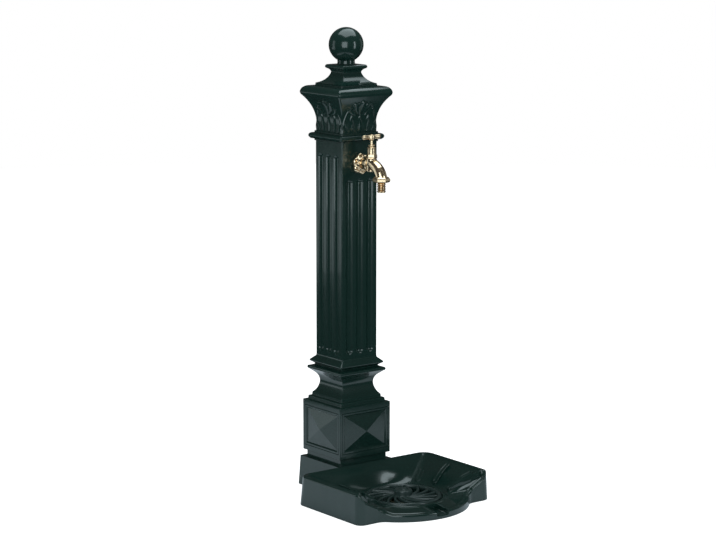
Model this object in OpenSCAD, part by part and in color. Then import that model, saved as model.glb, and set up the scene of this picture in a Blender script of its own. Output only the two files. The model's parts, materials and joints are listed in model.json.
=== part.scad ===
// Garden standpipe: cast column with a brass tap, standing behind a catch basin.
// Millimetres. The origin is on the column's axis at the ground, +Z up, the tap faces -Y.

/* [Foot] */
// Width of the foot at the ground
foot_w = 160; // [154:1:176]
// Inward lean of each side over the foot's height
foot_lean = 5; // [2:0.5:8]
// Height of the foot
foot_h = 69; // [66:1:80]
// Wall of the foot
foot_wall = 7; // [5:0.5:9]
// Thickness of the foot's top plate
foot_top_t = 8; // [6:0.5:10]
// Side of the square opening in the foot's top plate
foot_open_w = 108; // [100:1:112]
// Thickness of the four anchor lugs
lug_t = 10; // [8:0.5:12]
// Distance between neighbouring anchor holes
anchor_pitch = 88; // [84:1:96]
// Diameter of an anchor hole
anchor_d = 11; // [9:0.5:13]

/* [Pedestal] */
// Width of the recessed plinth on the foot
plinth_w = 127; // [122:1:132]
// Height of the plinth
plinth_h = 15.5; // [10:0.5:24]
// Width of the square block
block_w = 141.5; // [136:0.5:150]
// Height of the square block
block_h = 119; // [105:1:150]
// Width of the sunk panel on each face of the block
panel_w = 116; // [90:1:120]
// Height of the sunk panel
panel_h = 79; // [60:1:90]
// Depth of the sunk panel
panel_depth = 3; // [2:0.5:4]
// Rise of the pyramid above the panel's ground
pyramid_rise = 8; // [4:0.5:12]
// Width of the lower step above the block
lower_step_w = 125; // [118:1:132]
// Height of the lower step
lower_step_h = 9; // [5:0.5:14]
// Width of the upper step
upper_step_w = 112; // [106:1:116]
// Height of the upper step
upper_step_h = 8; // [5:0.5:14]
// Width of the scotia at its neck
neck_w = 84; // [82:0.5:92]
// Radius of the scotia's hollow
scotia_r = 35; // [30:0.5:42]
// Width over the lip above the scotia
lower_lip_w = 127; // [118:1:134]
// Thickness of that lip at its tip
lip_t = 3; // [2:0.5:5]
// Height between a lip's edge and the joint of pedestal and shaft
lip_rise = 7; // [6:0.5:9]
// Width of the seat between pedestal and shaft
seat_w = 105; // [102:1:112]
// Thickness of the block's top
block_top_t = 10; // [8:0.5:14]
// Width of the hollow in the block
block_bore_w = 104; // [96:1:106]
// Width of the hollow through the neck
neck_bore_w = 72; // [71:0.5:74]

/* [Shaft] */
// Width of the shaft
shaft_w = 100; // [98:1:104]
// Length of the shaft between lip and collar
shaft_h = 496; // [420:5:640]
// Width over the lip at the bottom of the shaft
upper_lip_w = 119; // [112:1:126]
// Height of that lip and its flare
upper_lip_h = 24; // [18:0.5:32]
// Width of the hollow through the shaft
shaft_bore_w = 80; // [78:0.5:82]
// Bevel on the shaft's corners
corner_bevel = 3; // [1.5:0.5:5]
// Flutes on each face
flute_count = 3; // [2:1:3]
// Distance between flutes
flute_pitch = 29; // [25:0.5:31]
// Width of a flute
flute_w = 20; // [16:0.5:22]
// Depth of a flute
flute_depth = 5.5; // [3.5:0.25:6]
// Plain length below the flutes
flute_start = 9; // [6:0.5:20]
// Plain length above the flutes on the sides and back
flute_stop = 26; // [16:1:60]
// Plain length above the flutes on the tap's face
flute_stop_front = 81; // [78:1:120]

/* [Capital] */
// Height of each flat step of the collar
collar_step_h = 5; // [3:0.5:8]
// Width over the collar's bead
bead_w = 125; // [116:1:132]
// Height of the bead
bead_h = 13; // [9:0.5:17]
// Width of the bell at its waist
waist_w = 97; // [94:0.5:100]
// Height of the straight waist
waist_h = 17; // [8:0.5:24]
// Radius of the bell's hollow curve
bell_r = 95; // [85:1:110]
// Width over the slab
slab_w = 150; // [140:1:158]
// Height of the slab's rounded edge
slab_h = 19; // [13:0.5:24]
// Set-back of the slab's rounded edge
slab_round = 12; // [8:0.5:14]
// Height of the raised leaves above the bell
leaf_relief = 2.5; // [1.5:0.25:3.5]
// Width of the raised arch on each face
arch_band = 4; // [3:0.25:6]
// Distance of the arch from the corners of the bell's waist
arch_margin = 2; // [1:0.5:5]
// Height of the fan's foot above the collar
leaf_foot = 6; // [3:0.5:12]
// Length of the middle leaf of the fan
leaf_l = 54; // [40:1:58]
// Loss of length from leaf to leaf
leaf_shrink = 9; // [5:0.5:12]
// Width of a leaf
leaf_w = 11; // [7:0.5:12]
// Turn from leaf to leaf
leaf_turn = 27; // [20:1:32]
// Width of the hollow through the capital
capital_bore_w = 72; // [68:0.5:74]
// Side of the opening in the capital's top
capital_open_w = 60; // [54:0.5:64]
// Thickness of the capital's top
capital_top_t = 8; // [6:0.5:10]
// Depth of the locating ring under each casting
register_h = 6; // [4:0.5:8]
// Clearance round the locating ring
register_gap = 0.2; // [0.1:0.05:0.4]

/* [Cap and ball] */
// Width of the cap's bottom edge
cap_w = 101; // [96:1:108]
// Height of the cap's bottom edge
cap_edge_h = 4.5; // [3:0.5:7]
// Radius of the cap's hollow roof
roof_r = 34; // [32:0.5:38]
// Width of the roof at its neck
roof_neck_w = 47; // [44:0.5:52]
// Height of the roof's neck below the axis of its hollow
roof_neck_drop = 9; // [7:0.5:11]
// Radius of the flare under the top moulding
flare_r = 12.5; // [10:0.5:14]
// Width over the top moulding
moulding_w = 65; // [60:0.5:70]
// Thickness of the top moulding
moulding_h = 6; // [4:0.5:8]
// Side of the hollow in the cap
cap_bore_w = 46; // [40:0.5:50]
// Diameter of the ball
ball_d = 79.2; // [70:0.2:90]
// Diameter of the round neck under the ball
ball_neck_d = 36.6; // [30:0.2:44]
// Height of the neck below the ball's centre
ball_neck_h = 44.6; // [42:0.2:48]
// Ring round the bottom of the neck, width
neck_ring_w = 2; // [1:0.5:4]
// Ring round the bottom of the neck, height
neck_ring_h = 2.5; // [1.5:0.5:4]

/* [Tie rod] */
// Diameter of the tie rod
rod_d = 12; // [10:0.5:14]
// Length of the rod inside the ball
rod_grip = 26; // [20:1:34]
// Width across the flats of the nut on the rod
rod_nut_af = 19; // [17:0.5:21]
// Height of that nut
rod_nut_h = 10; // [8:0.5:12]
// Thickness of the washer under it
rod_washer_t = 2.5; // [1.5:0.25:4]
// Width of the bar that bridges the foot's opening
bar_w = 20; // [16:0.5:22]
// Thickness of that bar
bar_t = 10; // [8:0.5:12]
// How far the bar reaches under the top plate at each end
bar_bearing = 8; // [6:0.5:9]
// Radial clearance in threads that stay put
thread_gap = 0.1; // [0.05:0.05:0.2]
// Radial clearance of a through hole
hole_gap = 0.5; // [0.3:0.1:1]

/* [Basin] */
// Width of the basin
basin_w = 367; // [340:1:400]
// Distance from the column's axis to the basin's back edge
basin_back = 63; // [61:1:66]
// Distance from the column's axis to the basin's straight front wall
basin_front = 294; // [286:1:302]
// Height of the rim
rim_h = 67; // [62:0.5:68]
// Width of the rim
rim_w = 8; // [6:0.5:10]
// Radius of the back corners
back_corner_r = 14; // [12:1:24]
// Radius of the front corners
front_corner_r = 20; // [14:1:28]
// Radius of the front lobe
lobe_r = 160; // [154:1:170]
// Distance from the column's axis to the tip of the front lobe
lobe_reach = 355; // [348:1:362]
// Radius of the hollow where the lobe leaves the front wall
lobe_fillet_r = 28; // [20:1:36]
// Wall of the basin
basin_wall = 6; // [5:0.5:8]
// Thickness of the dish
dish_t = 7; // [6:0.5:9]
// Height of the dish's floor
dish_floor_z = 20; // [19:0.5:23]
// Height of the front apron
apron_z = 17; // [15:0.5:18.5]
// Half width of the front apron
apron_half = 114; // [104:1:120]
// Width of a raised rib in the dish
rib_w = 8; // [6:0.5:10]
// Height of a raised rib
rib_h = 3.5; // [2:0.5:5]
// Length of a raised rib
rib_len = 58; // [40:1:62]
// Turn between neighbouring ribs
rib_turn = 30; // [26:1:34]
// Width of the overflow notch in the lobe
notch_w = 56; // [40:1:64]
// Height of the overflow notch's floor
notch_z = 7; // [6:0.5:10]
// Gap between basin and foot
foot_gap = 0.3; // [0.2:0.1:0.6]

/* [Drain] */
// Distance from the bolts' nuts to the kerb round the drain
drain_gap = 21.8; // [18:0.2:26]
// Diameter of the grate
grate_d = 174; // [166:1:176]
// Gap round the grate in its recess
grate_gap = 1; // [0.6:0.1:1.5]
// Width of the ledge under the grate
ledge_w = 7; // [5:0.5:9]
// Height of the ledge
ledge_z = 18; // [17:0.5:19]
// Width of the grate's outer ring
grate_ring_w = 9; // [8:0.5:12]
// Thickness of the grate
grate_t = 8; // [6:0.5:10]
// Curved slots of the grate
slot_count = 16; // [12:1:18]
// Loss of a slot's length against the band that it crosses
slot_margin = 3; // [1:0.5:10]
// Width of the bars between the slots
grate_bar_w = 2.9; // [2.5:0.1:6]
// Slant of the slots to the radius
slot_slant = 40; // [20:1:45]
// Diameter of the grate's boss
boss_d = 42; // [36:1:46]
// Height of the boss above the ring
boss_rise = 14; // [9:0.5:18]
// Width of the step round the boss
boss_step_w = 6; // [3:0.5:8]
// Height of the step below the boss's top
boss_step_h = 5; // [2:0.5:8]
// Raised kerb round the grate's recess, width
kerb_w = 9; // [6:0.5:11]
// Height of the kerb above the dish's floor
kerb_h = 3; // [2:0.5:5]
// Height of the sump's floor
sump_z = 10; // [9:0.5:11]
// Thickness of the sump's floor
sump_t = 7; // [6:0.5:7.5]
// Bore of the drain outlet
outlet_d = 40; // [36:1:44]
// Wall of the drain outlet
outlet_wall = 3; // [2.5:0.25:4]
// Diameter of the outlet's flange
outlet_flange_d = 62; // [58:1:70]
// Thickness of the outlet's flange
outlet_flange_t = 2.5; // [2:0.25:3.5]
// Thickness of the gasket under that flange
outlet_gasket_t = 1.5; // [1:0.25:2]

/* [Basin bolts] */
// Diameter of a bolt
bolt_d = 8; // [6:0.5:10]
// Distance between the two bolts
bolt_pitch = 80; // [70:1:90]
// Height of the bolts
bolt_z = 22; // [21:0.5:24]
// Diameter of the bosses that the bolts clamp
bolt_boss_d = 18; // [16:0.5:20]
// Width across the flats of a bolt's head and nut
bolt_af = 13; // [11:0.5:15]
// Height of a bolt's head and of its nut
bolt_head_h = 5.5; // [4:0.5:7]
// Length of the boss inside the foot
foot_boss_l = 6; // [4:0.5:9]
// Length of the boss inside the basin
basin_boss_l = 4; // [3:0.5:6]

/* [Supply] */
// Distance of the supply pipe from the column's axis
pipe_reach = 24; // [23.5:0.1:24.5]
// Outside diameter of the supply pipe
pipe_d = 21.3; // [18:0.1:21.6]
// Bore of the supply pipe
pipe_bore_d = 16; // [12:0.5:17]
// Height of the inlet's mouth above the ground
inlet_z = 6; // [3:0.5:8]
// Diameter of the inlet's threaded hole
inlet_d = 19; // [18:0.1:20]
// Depth of the inlet's threaded hole
inlet_l = 16; // [12:0.5:18]
// Outside diameter of the inlet coupling
coupling_d = 29; // [27:0.5:31]
// Depth of the pipe's seat in the coupling and in the elbow
pipe_seat = 14; // [10:0.5:16]
// Diameter of the elbow's upright barrel
elbow_d = 28; // [27:0.5:29]
// Diameter of the elbow's face against the wall
elbow_face_d = 34; // [31:0.5:38]
// Thickness of that face
elbow_face_t = 4; // [3:0.5:6]
// Thickness of the gasket between elbow and wall
elbow_gasket_t = 1.5; // [1:0.25:2.5]

/* [Tap] */
// Height of the tap's inlet below the collar
tap_drop = 47; // [44:0.5:50]
// Diameter of the tap's inlet tail
tail_d = 20.9; // [18:0.1:21.5]
// Distance from the supply pipe's axis to the end of the inlet tail
tail_clear = 4.5; // [4:0.25:6]
// Bore of the inlet tail
tail_bore_d = 12; // [9:0.5:13]
// Diameter of the rosette
rosette_d = 52; // [44:1:56]
// Thickness of the rosette
rosette_t = 14; // [10:0.5:16]
// Thickness of the rosette's rim
rosette_rim = 2.5; // [1.5:0.25:4]
// Scallops round the rosette
scallop_count = 12; // [8:1:14]
// Diameter of a scallop's hollow
scallop_d = 7.5; // [5:0.25:9]
// Depth of a scallop
scallop_depth = 2; // [1:0.25:3]
// Diameter of the tap's collar in front of the rosette
tap_collar_d = 30; // [26:0.5:34]
// Thickness of that collar
tap_collar_t = 5; // [3:0.5:7]
// Diameter of the inlet barrel
barrel_d = 21; // [19:0.5:23]
// Distance from the shaft's face to the spindle's axis
stem_reach = 44.5; // [43:0.5:50]
// Diameter of the valve chamber
chamber_d = 25; // [24.5:0.1:27]
// Height of the chamber above the inlet's axis
chamber_rise = 18; // [17.5:0.5:20]
// Depth of the chamber below the inlet's axis
chamber_depth = 15; // [14:0.5:17]
// Distance from the spindle's axis to the outlet's axis
spout_reach = 36.5; // [35:0.5:42]
// Diameter of the spout and its outlet thread
spout_d = 26.4; // [25.4:0.1:27]
// Bore of the spout
spout_bore_d = 17; // [14:0.5:18]
// Radius of the spout's bend
bend_r = 26; // [24:0.5:28]
// Straight outlet below the bend
outlet_l = 3.5; // [3:0.5:6]
// Diameter of the hole in the valve's seat
seat_bore_d = 11; // [9:0.5:12]
// Diameter of the raised seat
seat_d = 16; // [15:0.5:17]
// Height of the raised seat
seat_rise = 1.5; // [1:0.25:2]
// Thickness of the web that carries the seat
seat_web = 3; // [2.5:0.25:3.5]
// Height of the seat above the inlet's axis
seat_up = 0.5; // [0:0.25:1]
// Bore of the slanting way from the inlet to the seat
way_d = 6; // [5:0.25:6.5]
// Bore of the slanting way from the chamber to the spout
outlet_way_d = 9.6; // [8:0.2:10]
// Bored part of the spout's bend, degrees
bend_way = 75; // [70:1:78]

/* [Headwork] */
// Diameter of the valve washer
washer_d = 15; // [14:0.5:16]
// Thickness of the valve washer
washer_t = 4; // [3:0.25:5]
// Diameter of the jumper's plate
jumper_d = 15.6; // [15:0.2:16.4]
// Thickness of the jumper's plate
jumper_t = 3; // [2:0.25:3.5]
// Diameter of the jumper's stem inside the spindle
jumper_stem_d = 5; // [4:0.25:5.5]
// Lift of the valve
valve_lift = 6; // [4:0.5:6.5]
// Width across the flats of the jumper's nut
jumper_nut_af = 6.5; // [6:0.25:7]
// Height of the jumper's nut
jumper_nut_h = 2.6; // [2:0.2:3]
// Diameter of the stud that carries the washer
stud_d = 4; // [3.5:0.25:4.5]
// Diameter of the bonnet's lower thread
bonnet_thread_d = 21; // [20.4:0.1:21.4]
// Length of that thread
bonnet_thread_l = 8.5; // [7.5:0.5:9]
// Width across the flats of the bonnet's hexagon
bonnet_af = 22; // [21.5:0.5:25]
// Height of the hexagon
bonnet_hex_h = 5; // [4:0.5:7]
// Thickness of the gasket under the hexagon
bonnet_gasket_t = 0.8; // [0.5:0.1:1.2]
// Diameter of the bonnet's barrel
bonnet_d = 17; // [16:0.5:18.5]
// Height of the bonnet's barrel
bonnet_h = 15; // [13:0.5:18]
// Diameter of the spindle's thread
spindle_thread_d = 10; // [9:0.25:10.5]
// Diameter of the spindle's stem
stem_d = 6.8; // [6:0.2:7]
// Diameter of the packing box
packing_d = 12; // [11.5:0.25:12.5]
// Depth of the packing box
packing_box_h = 8; // [6:0.5:9]
// Diameter of the gland nut
gland_d = 13.5; // [13:0.25:15]
// Height of the gland nut
gland_h = 4; // [3:0.5:6]
// Depth of the gland's nose in the packing box
gland_nose = 1.5; // [1:0.25:2.5]
// Bare stem between gland nut and handle
bare_stem = 13; // [9:0.5:18]
// Free room round the moving valve
room_gap = 0.5; // [0.4:0.1:0.7]
// Running clearance of the spindle and the jumper's stem, radial
run_gap = 0.06; // [0.03:0.01:0.1]

/* [Handle] */
// Length of the handle from tip to tip
handle_l = 55; // [48:0.5:62]
// Height of the handle's hub
hub_h = 14; // [12:0.5:17]
// Diameter of the hub
hub_d = 14; // [12:0.5:17]
// Diameter of the round wing tips
wing_d = 12; // [9:0.5:13]
// Height of the arm between hub and wing tip
arm_h = 7; // [5:0.5:9]
// Thickness of arm and wing tips
wing_t = 6; // [4.5:0.5:7]
// Side of the spindle's square
square_w = 4.8; // [4:0.1:4.8]
// Clearance round the square
square_gap = 0.1; // [0.05:0.05:0.15]
// Height of hub left above the square
hub_roof = 3; // [2:0.5:4]
// Diameter of the handle screw
screw_d = 3; // [2.5:0.25:3.2]
// Diameter of the screw's head
screw_head_d = 8; // [7:0.5:9]
// Height of the screw's head
screw_head_h = 3; // [2:0.25:4]
// Depth of the screw in the spindle
screw_grip = 6; // [4:0.5:8]

/* [Hose union] */
// Width across the flats of the union nut
union_af = 34; // [32.5:0.5:38]
// Height of the union nut
union_h = 11; // [10:0.5:13]
// Thickness of the nut's bottom lip
union_lip = 2; // [1.5:0.25:2.5]
// Radial clearance of the union's thread
union_gap = 0.1; // [0.05:0.01:0.1]
// Thickness of the hose tail's collar
tail_collar_t = 1.8; // [1.5:0.1:2.5]
// Thickness of the sealing washer
union_washer_t = 1.7; // [1.2:0.1:2]
// Diameter of the hose tail's plain end
hose_d = 19; // [16:0.5:20]
// Bore of the hose tail
hose_bore_d = 12; // [9:0.5:13]
// Length of the hose tail below the nut
hose_l = 23.5; // [20:0.5:36]
// Length of the hose tail's plain end
hose_land = 6; // [4:0.5:8]
// Barbs on the hose tail
barb_count = 3; // [2:1:4]
// Height of a barb
barb_h = 0.8; // [0.5:0.1:1]
// Length of a barb's steep side
barb_drop = 0.5; // [0.3:0.1:0.8]
// Clearance between hose tail and nut
tail_gap = 0.5; // [0.4:0.1:0.8]

/* [Hidden] */
$fn = 64;
paint = [0.08, 0.14, 0.13];
brass = [0.80, 0.60, 0.28];
steel = [0.62, 0.63, 0.64];
rubber = [0.10, 0.10, 0.10];
over = 1;

// Half widths
foot_half = foot_w / 2;
foot_slope = foot_lean / foot_h;
block_half = block_w / 2;
neck_half = neck_w / 2;
seat_half = seat_w / 2;
shaft_half = shaft_w / 2;
waist_half = waist_w / 2;
slab_half = slab_w / 2;
cap_half = cap_w / 2;
roof_neck_half = roof_neck_w / 2;
moulding_half = moulding_w / 2;
basin_half = basin_w / 2;

// Levels of the column
z_block = foot_h + plinth_h;
z_lower_step = z_block + block_h;
z_upper_step = z_lower_step + lower_step_h;
z_scotia = z_upper_step + upper_step_h;
scotia_axis = neck_half + scotia_r;
z_neck = z_scotia + sqrt(pow(scotia_r, 2) - pow(scotia_axis - upper_step_w / 2, 2));
z_lower_lip = z_neck + sqrt(pow(scotia_r, 2) - pow(scotia_axis - lower_lip_w / 2, 2));
z_joint = z_lower_lip + lip_rise;
z_upper_lip = z_joint + lip_rise + over;
z_shaft = z_joint + upper_lip_h;
z_collar = z_shaft + shaft_h;
z_bead = z_collar + collar_step_h;
z_bead_top = z_bead + bead_h;
z_bell = z_bead_top + collar_step_h;
z_curve = z_bell + waist_h;
bell_axis = waist_half + bell_r;
bell_top_angle = acos((bell_axis - slab_half) / bell_r);
z_slab = z_curve + bell_r * sin(bell_top_angle);
z_cap = z_slab + slab_h;
z_roof = z_cap + cap_edge_h;
roof_axis = roof_neck_half + roof_r;
roof_foot_half = cap_half - cap_edge_h / 2;
z_roof_axis = z_roof + cap_edge_h / 2 + sqrt(pow(roof_r, 2) - pow(roof_axis - roof_foot_half, 2));
z_flare = z_roof_axis - roof_neck_drop;
flare_axis = roof_axis - sqrt(pow(roof_r, 2) - pow(roof_neck_drop, 2)) + flare_r;
z_moulding = z_flare + sqrt(pow(flare_r, 2) - pow(flare_axis - moulding_half, 2));
z_finial = z_moulding + moulding_h;
z_ball = z_finial + ball_neck_h;
z_tap = z_collar - tap_drop;

// Points on an arc
function arc(centre, r, from, to, steps = 8) =
    [for (i = [0 : steps]) let(a = from + (to - from) * i / steps) centre + r * [cos(a), sin(a)]];

// Half profiles of the square castings, from the bottom up
scotia_low = asin((z_neck - z_scotia) / scotia_r);
scotia_high = asin((z_lower_lip - z_neck) / scotia_r);
pedestal_side = concat(
    [[plinth_w / 2, foot_h], [plinth_w / 2, z_block], [block_half, z_block], [block_half, z_lower_step]],
    [[lower_step_w / 2, z_lower_step], [lower_step_w / 2, z_upper_step], [upper_step_w / 2, z_upper_step]],
    arc([scotia_axis, z_neck], scotia_r, 180 + scotia_low, 180 - scotia_high, 12),
    [[lower_lip_w / 2, z_lower_lip + lip_t], [seat_half, z_joint - over], [seat_half, z_joint]]);
lip_flare = upper_lip_w / 2 - shaft_half;
shaft_foot_side = concat(
    [[seat_half, z_joint], [seat_half, z_joint + over], [upper_lip_w / 2, z_upper_lip]],
    [for (i = [1 : 6]) let(a = 90 * i / 6)
        [shaft_half + lip_flare * (1 - sin(a)), z_upper_lip + (z_shaft - z_upper_lip) * (1 - cos(a))]]);
bead_out = (bead_w - seat_w) / 2;
capital_side = concat(
    [[seat_half, z_collar], [seat_half, z_bead]],
    [for (i = [1 : 7]) let(a = -90 + 180 * i / 8)
        [seat_half + bead_out * cos(a), z_bead + bead_h * (1 + sin(a)) / 2]],
    [[seat_half, z_bead_top], [seat_half, z_bell], [waist_half, z_bell]],
    arc([bell_axis, z_curve], bell_r, 180, 180 - bell_top_angle, 9),
    [for (i = [1 : 6]) let(a = 15 * i)
        [slab_half - slab_round * (1 - cos(a)), z_slab + slab_h * sin(a)]]);
roof_low = acos((roof_axis - roof_foot_half) / roof_r);
roof_high = asin(roof_neck_drop / roof_r);
flare_high = asin((z_moulding - z_flare) / flare_r);
cap_side = concat(
    [[cap_half, z_cap], [cap_half, z_roof]],
    arc([roof_axis, z_roof_axis], roof_r, 180 + roof_low, 180 + roof_high, 10),
    arc([flare_axis, z_flare], flare_r, 180, 180 - flare_high, 6),
    [[moulding_half, z_moulding + moulding_h / 2], [moulding_half - moulding_h / 2, z_finial]]);

// A square moulding: one half profile swept round four sides with mitred corners
module square_sweep(side) {
    outline = concat(side, [for (i = [len(side) - 1 : -1 : 0]) [-side[i][0], side[i][1]]]);
    reach = 2 * max([for (p = side) p[0]]) + over;
    intersection() {
        rotate([90, 0, 0]) linear_extrude(height = reach, center = true) polygon(outline);
        rotate([90, 0, 90]) linear_extrude(height = reach, center = true) polygon(outline);
    }
}

// A square bar on the column's axis
module square_bar(w, from, to) {
    translate([-w / 2, -w / 2, from]) cube([w, w, to - from]);
}

// A round bar on the column's axis or beside it
module upright(d, from, to, reach = 0) {
    translate([0, -reach, from]) cylinder(d = d, h = to - from);
}

// A round bar pointing to the front at the tap's height, from and to measured from the column's axis
module forward(d, from, to, z = z_tap) {
    translate([0, -from, z]) rotate([90, 0, 0]) cylinder(d = d, h = to - from);
}

// A hexagonal prism by its width across the flats
module hexagon(af, h) {
    cylinder(d = af / cos(30), h = h, $fn = 6);
}

// Places children on all four faces of a column at a height, their Z pointing out
module on_faces(half, z) {
    for (turn = [0 : 90 : 270]) {
        rotate(turn) translate([0, -half, z]) rotate([90, 0, 0]) children();
    }
}

// Foot and basin bolts
foot_face = foot_half - foot_slope * bolt_z;
bolt_seat = foot_face - foot_wall - foot_boss_l;
nut_seat = foot_face + foot_gap + basin_wall + basin_boss_l;
module foot_block(extra) {
    square_sweep([[foot_half + foot_slope * over + extra, -over],
        [foot_half - foot_lean + extra, foot_h]]);
}

module bolt_places() {
    for (side = [-1, 1]) translate([side * bolt_pitch / 2, 0, bolt_z]) children();
}

module foot_casting() {
    lug_in = anchor_pitch / 2 - anchor_d;
    color(paint) difference() {
        union() {
            difference() {
                intersection() {
                    foot_block(0);
                    square_bar(foot_w + over, 0, foot_h);
                }
                intersection() {
                    foot_block(-foot_wall);
                    square_bar(foot_w, -over, foot_h - foot_top_t);
                }
                square_bar(foot_open_w, 0, foot_h + over);
            }
            intersection() {
                foot_block(-foot_wall / 2);
                union() {
                    for (x = [-1, 1], y = [-1, 1]) {
                        translate([x > 0 ? lug_in : -foot_half, y > 0 ? lug_in : -foot_half, 0])
                            cube([foot_half - lug_in, foot_half - lug_in, lug_t]);
                    }
                    bolt_places() translate([0, -bolt_seat, 0]) rotate([90, 0, 0])
                        cylinder(d = bolt_boss_d, h = foot_half - bolt_seat);
                }
            }
        }
        for (x = [-1, 1], y = [-1, 1]) {
            translate([x * anchor_pitch / 2, y * anchor_pitch / 2, -over])
                cylinder(d = anchor_d, h = lug_t + 2 * over);
        }
        bolt_places() rotate([90, 0, 0]) cylinder(d = bolt_d + 2 * hole_gap, h = foot_w);
    }
}

// Pedestal
module pyramid(w, h, rise) {
    intersection() {
        rotate([90, 0, 0]) linear_extrude(height = h, center = true)
            polygon([[-w / 2, 0], [w / 2, 0], [0, rise]]);
        rotate([90, 0, 90]) linear_extrude(height = w, center = true)
            polygon([[-h / 2, 0], [h / 2, 0], [0, rise]]);
    }
}

module register_ring(outer_w, inner_w, from, to) {
    difference() {
        square_bar(outer_w - 2 * register_gap, from, to);
        square_bar(inner_w, from - over, to + over);
    }
}

module pedestal_casting() {
    z_panel = z_block + block_h / 2;
    color(paint) {
        difference() {
            square_sweep(pedestal_side);
            square_bar(block_bore_w, foot_h - over, z_lower_step - block_top_t);
            square_bar(neck_bore_w, foot_h, z_joint + over);
            on_faces(block_half, z_panel) translate([0, 0, -panel_depth])
                linear_extrude(height = panel_depth + over) square([panel_w, panel_h], center = true);
        }
        on_faces(block_half - panel_depth, z_panel) pyramid(panel_w, panel_h, pyramid_rise);
        register_ring(shaft_bore_w, neck_bore_w, z_joint, z_joint + register_h);
    }
}

// Shaft
flute_r = (pow(flute_w / 2, 2) + pow(flute_depth, 2)) / (2 * flute_depth);
module flute(top) {
    translate([0, 0, flute_r - flute_depth]) {
        translate([0, z_shaft + flute_start + flute_w / 2, 0]) {
            rotate([-90, 0, 0]) cylinder(r = flute_r, h = top - z_shaft - flute_start - flute_w);
            sphere(r = flute_r);
        }
        translate([0, top - flute_w / 2, 0]) sphere(r = flute_r);
    }
}

module shaft_casting() {
    inner = shaft_half - corner_bevel;
    wall_hole = tail_d + 2 * hole_gap;
    color(paint) difference() {
        union() {
            square_sweep(shaft_foot_side);
            translate([0, 0, z_shaft]) linear_extrude(height = shaft_h)
                polygon([for (turn = [0 : 90 : 270], x = [-inner, inner])
                    [x * cos(turn) + shaft_half * sin(turn), x * sin(turn) - shaft_half * cos(turn)]]);
        }
        square_bar(shaft_bore_w, z_joint - over, z_collar + over);
        for (turn = [0 : 90 : 270], i = [0 : flute_count - 1]) {
            rotate(turn) translate([(i - (flute_count - 1) / 2) * flute_pitch, -shaft_half, 0])
                rotate([90, 0, 0]) flute(z_collar - (turn == 0 ? flute_stop_front : flute_stop));
        }
        forward(wall_hole, shaft_bore_w / 2 - over, shaft_half + over);
    }
}

// Capital
// A pointed leaf standing on the origin
module leaf(length, width) {
    bow = (pow(length / 2, 2) + pow(width / 2, 2)) / width;
    intersection() {
        translate([bow - width / 2, length / 2]) circle(r = bow);
        translate([width / 2 - bow, length / 2]) circle(r = bow);
    }
}

// A pointed arch of two arcs, standing on the X axis
module pointed_arch(half_span, rise, inset) {
    shift = (pow(rise, 2) - pow(half_span, 2)) / (2 * half_span);
    intersection() {
        translate([shift, 0]) circle(r = half_span + shift - inset);
        translate([-shift, 0]) circle(r = half_span + shift - inset);
        translate([-half_span, 0]) square([2 * half_span, rise]);
    }
}

module leaf_outlines() {
    arch_rise = z_slab - z_bell - arch_band;
    difference() {
        pointed_arch(waist_half - arch_margin, arch_rise, 0);
        translate([0, -over]) pointed_arch(waist_half - arch_margin, arch_rise, arch_band);
    }
    for (i = [-2 : 2]) translate([0, leaf_foot]) rotate(i * leaf_turn) translate([0, leaf_w])
        leaf(leaf_l - leaf_w - abs(i) * leaf_shrink, leaf_w);
    translate([0, leaf_foot]) circle(r = leaf_w / 2);
}

module capital_casting() {
    raised = [for (p = capital_side) p + [leaf_relief, 0]];
    leaf_root = waist_half - leaf_relief;
    color(paint) {
        difference() {
            square_sweep(capital_side);
            square_bar(capital_bore_w, z_collar - over, z_cap - capital_top_t);
            square_bar(capital_open_w, z_collar, z_cap + over);
        }
        intersection() {
            square_sweep(raised);
            on_faces(leaf_root, z_bell) linear_extrude(height = slab_half - leaf_root) leaf_outlines();
        }
        register_ring(shaft_bore_w, capital_bore_w, z_collar - register_h, z_collar + over);
    }
}

// Cap and ball
module cap_casting() {
    hollow_top = z_cap + (z_flare - z_cap) / 2;
    color(paint) difference() {
        union() {
            square_sweep(cap_side);
            square_bar(capital_open_w - 2 * register_gap, z_cap - register_h, z_cap + over);
        }
        square_bar(cap_bore_w, z_cap - register_h - over, hollow_top);
        upright(rod_d + 2 * hole_gap, z_cap, z_finial + over);
    }
}

rod_top = z_finial + rod_grip;
module ball_finial() {
    color(paint) difference() {
        union() {
            translate([0, 0, z_ball]) sphere(d = ball_d);
            upright(ball_neck_d, z_finial, z_ball);
            upright(ball_neck_d + 2 * neck_ring_w, z_finial, z_finial + neck_ring_h);
        }
        upright(rod_d + 2 * thread_gap, z_finial - over, rod_top + over);
    }
}

// Tie rod
z_bar = foot_h - foot_top_t - bar_t;
z_rod_nut = z_bar - rod_washer_t - rod_nut_h;
module tie_rod() {
    color(steel) upright(rod_d, z_rod_nut - over, rod_top);
}

module tie_bar() {
    bar_l = foot_open_w + 2 * bar_bearing;
    color(steel) difference() {
        translate([-bar_l / 2, -bar_w / 2, z_bar]) cube([bar_l, bar_w, bar_t]);
        upright(rod_d + 2 * hole_gap, z_bar - over, z_bar + bar_t + over);
    }
}

module tie_washer() {
    color(steel) difference() {
        upright(bar_w, z_bar - rod_washer_t, z_bar);
        upright(rod_d + 2 * hole_gap, z_rod_nut, z_bar + over);
    }
}

module tie_nut() {
    color(steel) difference() {
        translate([0, 0, z_rod_nut]) hexagon(rod_nut_af, rod_nut_h);
        upright(rod_d + 2 * thread_gap, z_rod_nut - over, z_bar);
    }
}

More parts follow.
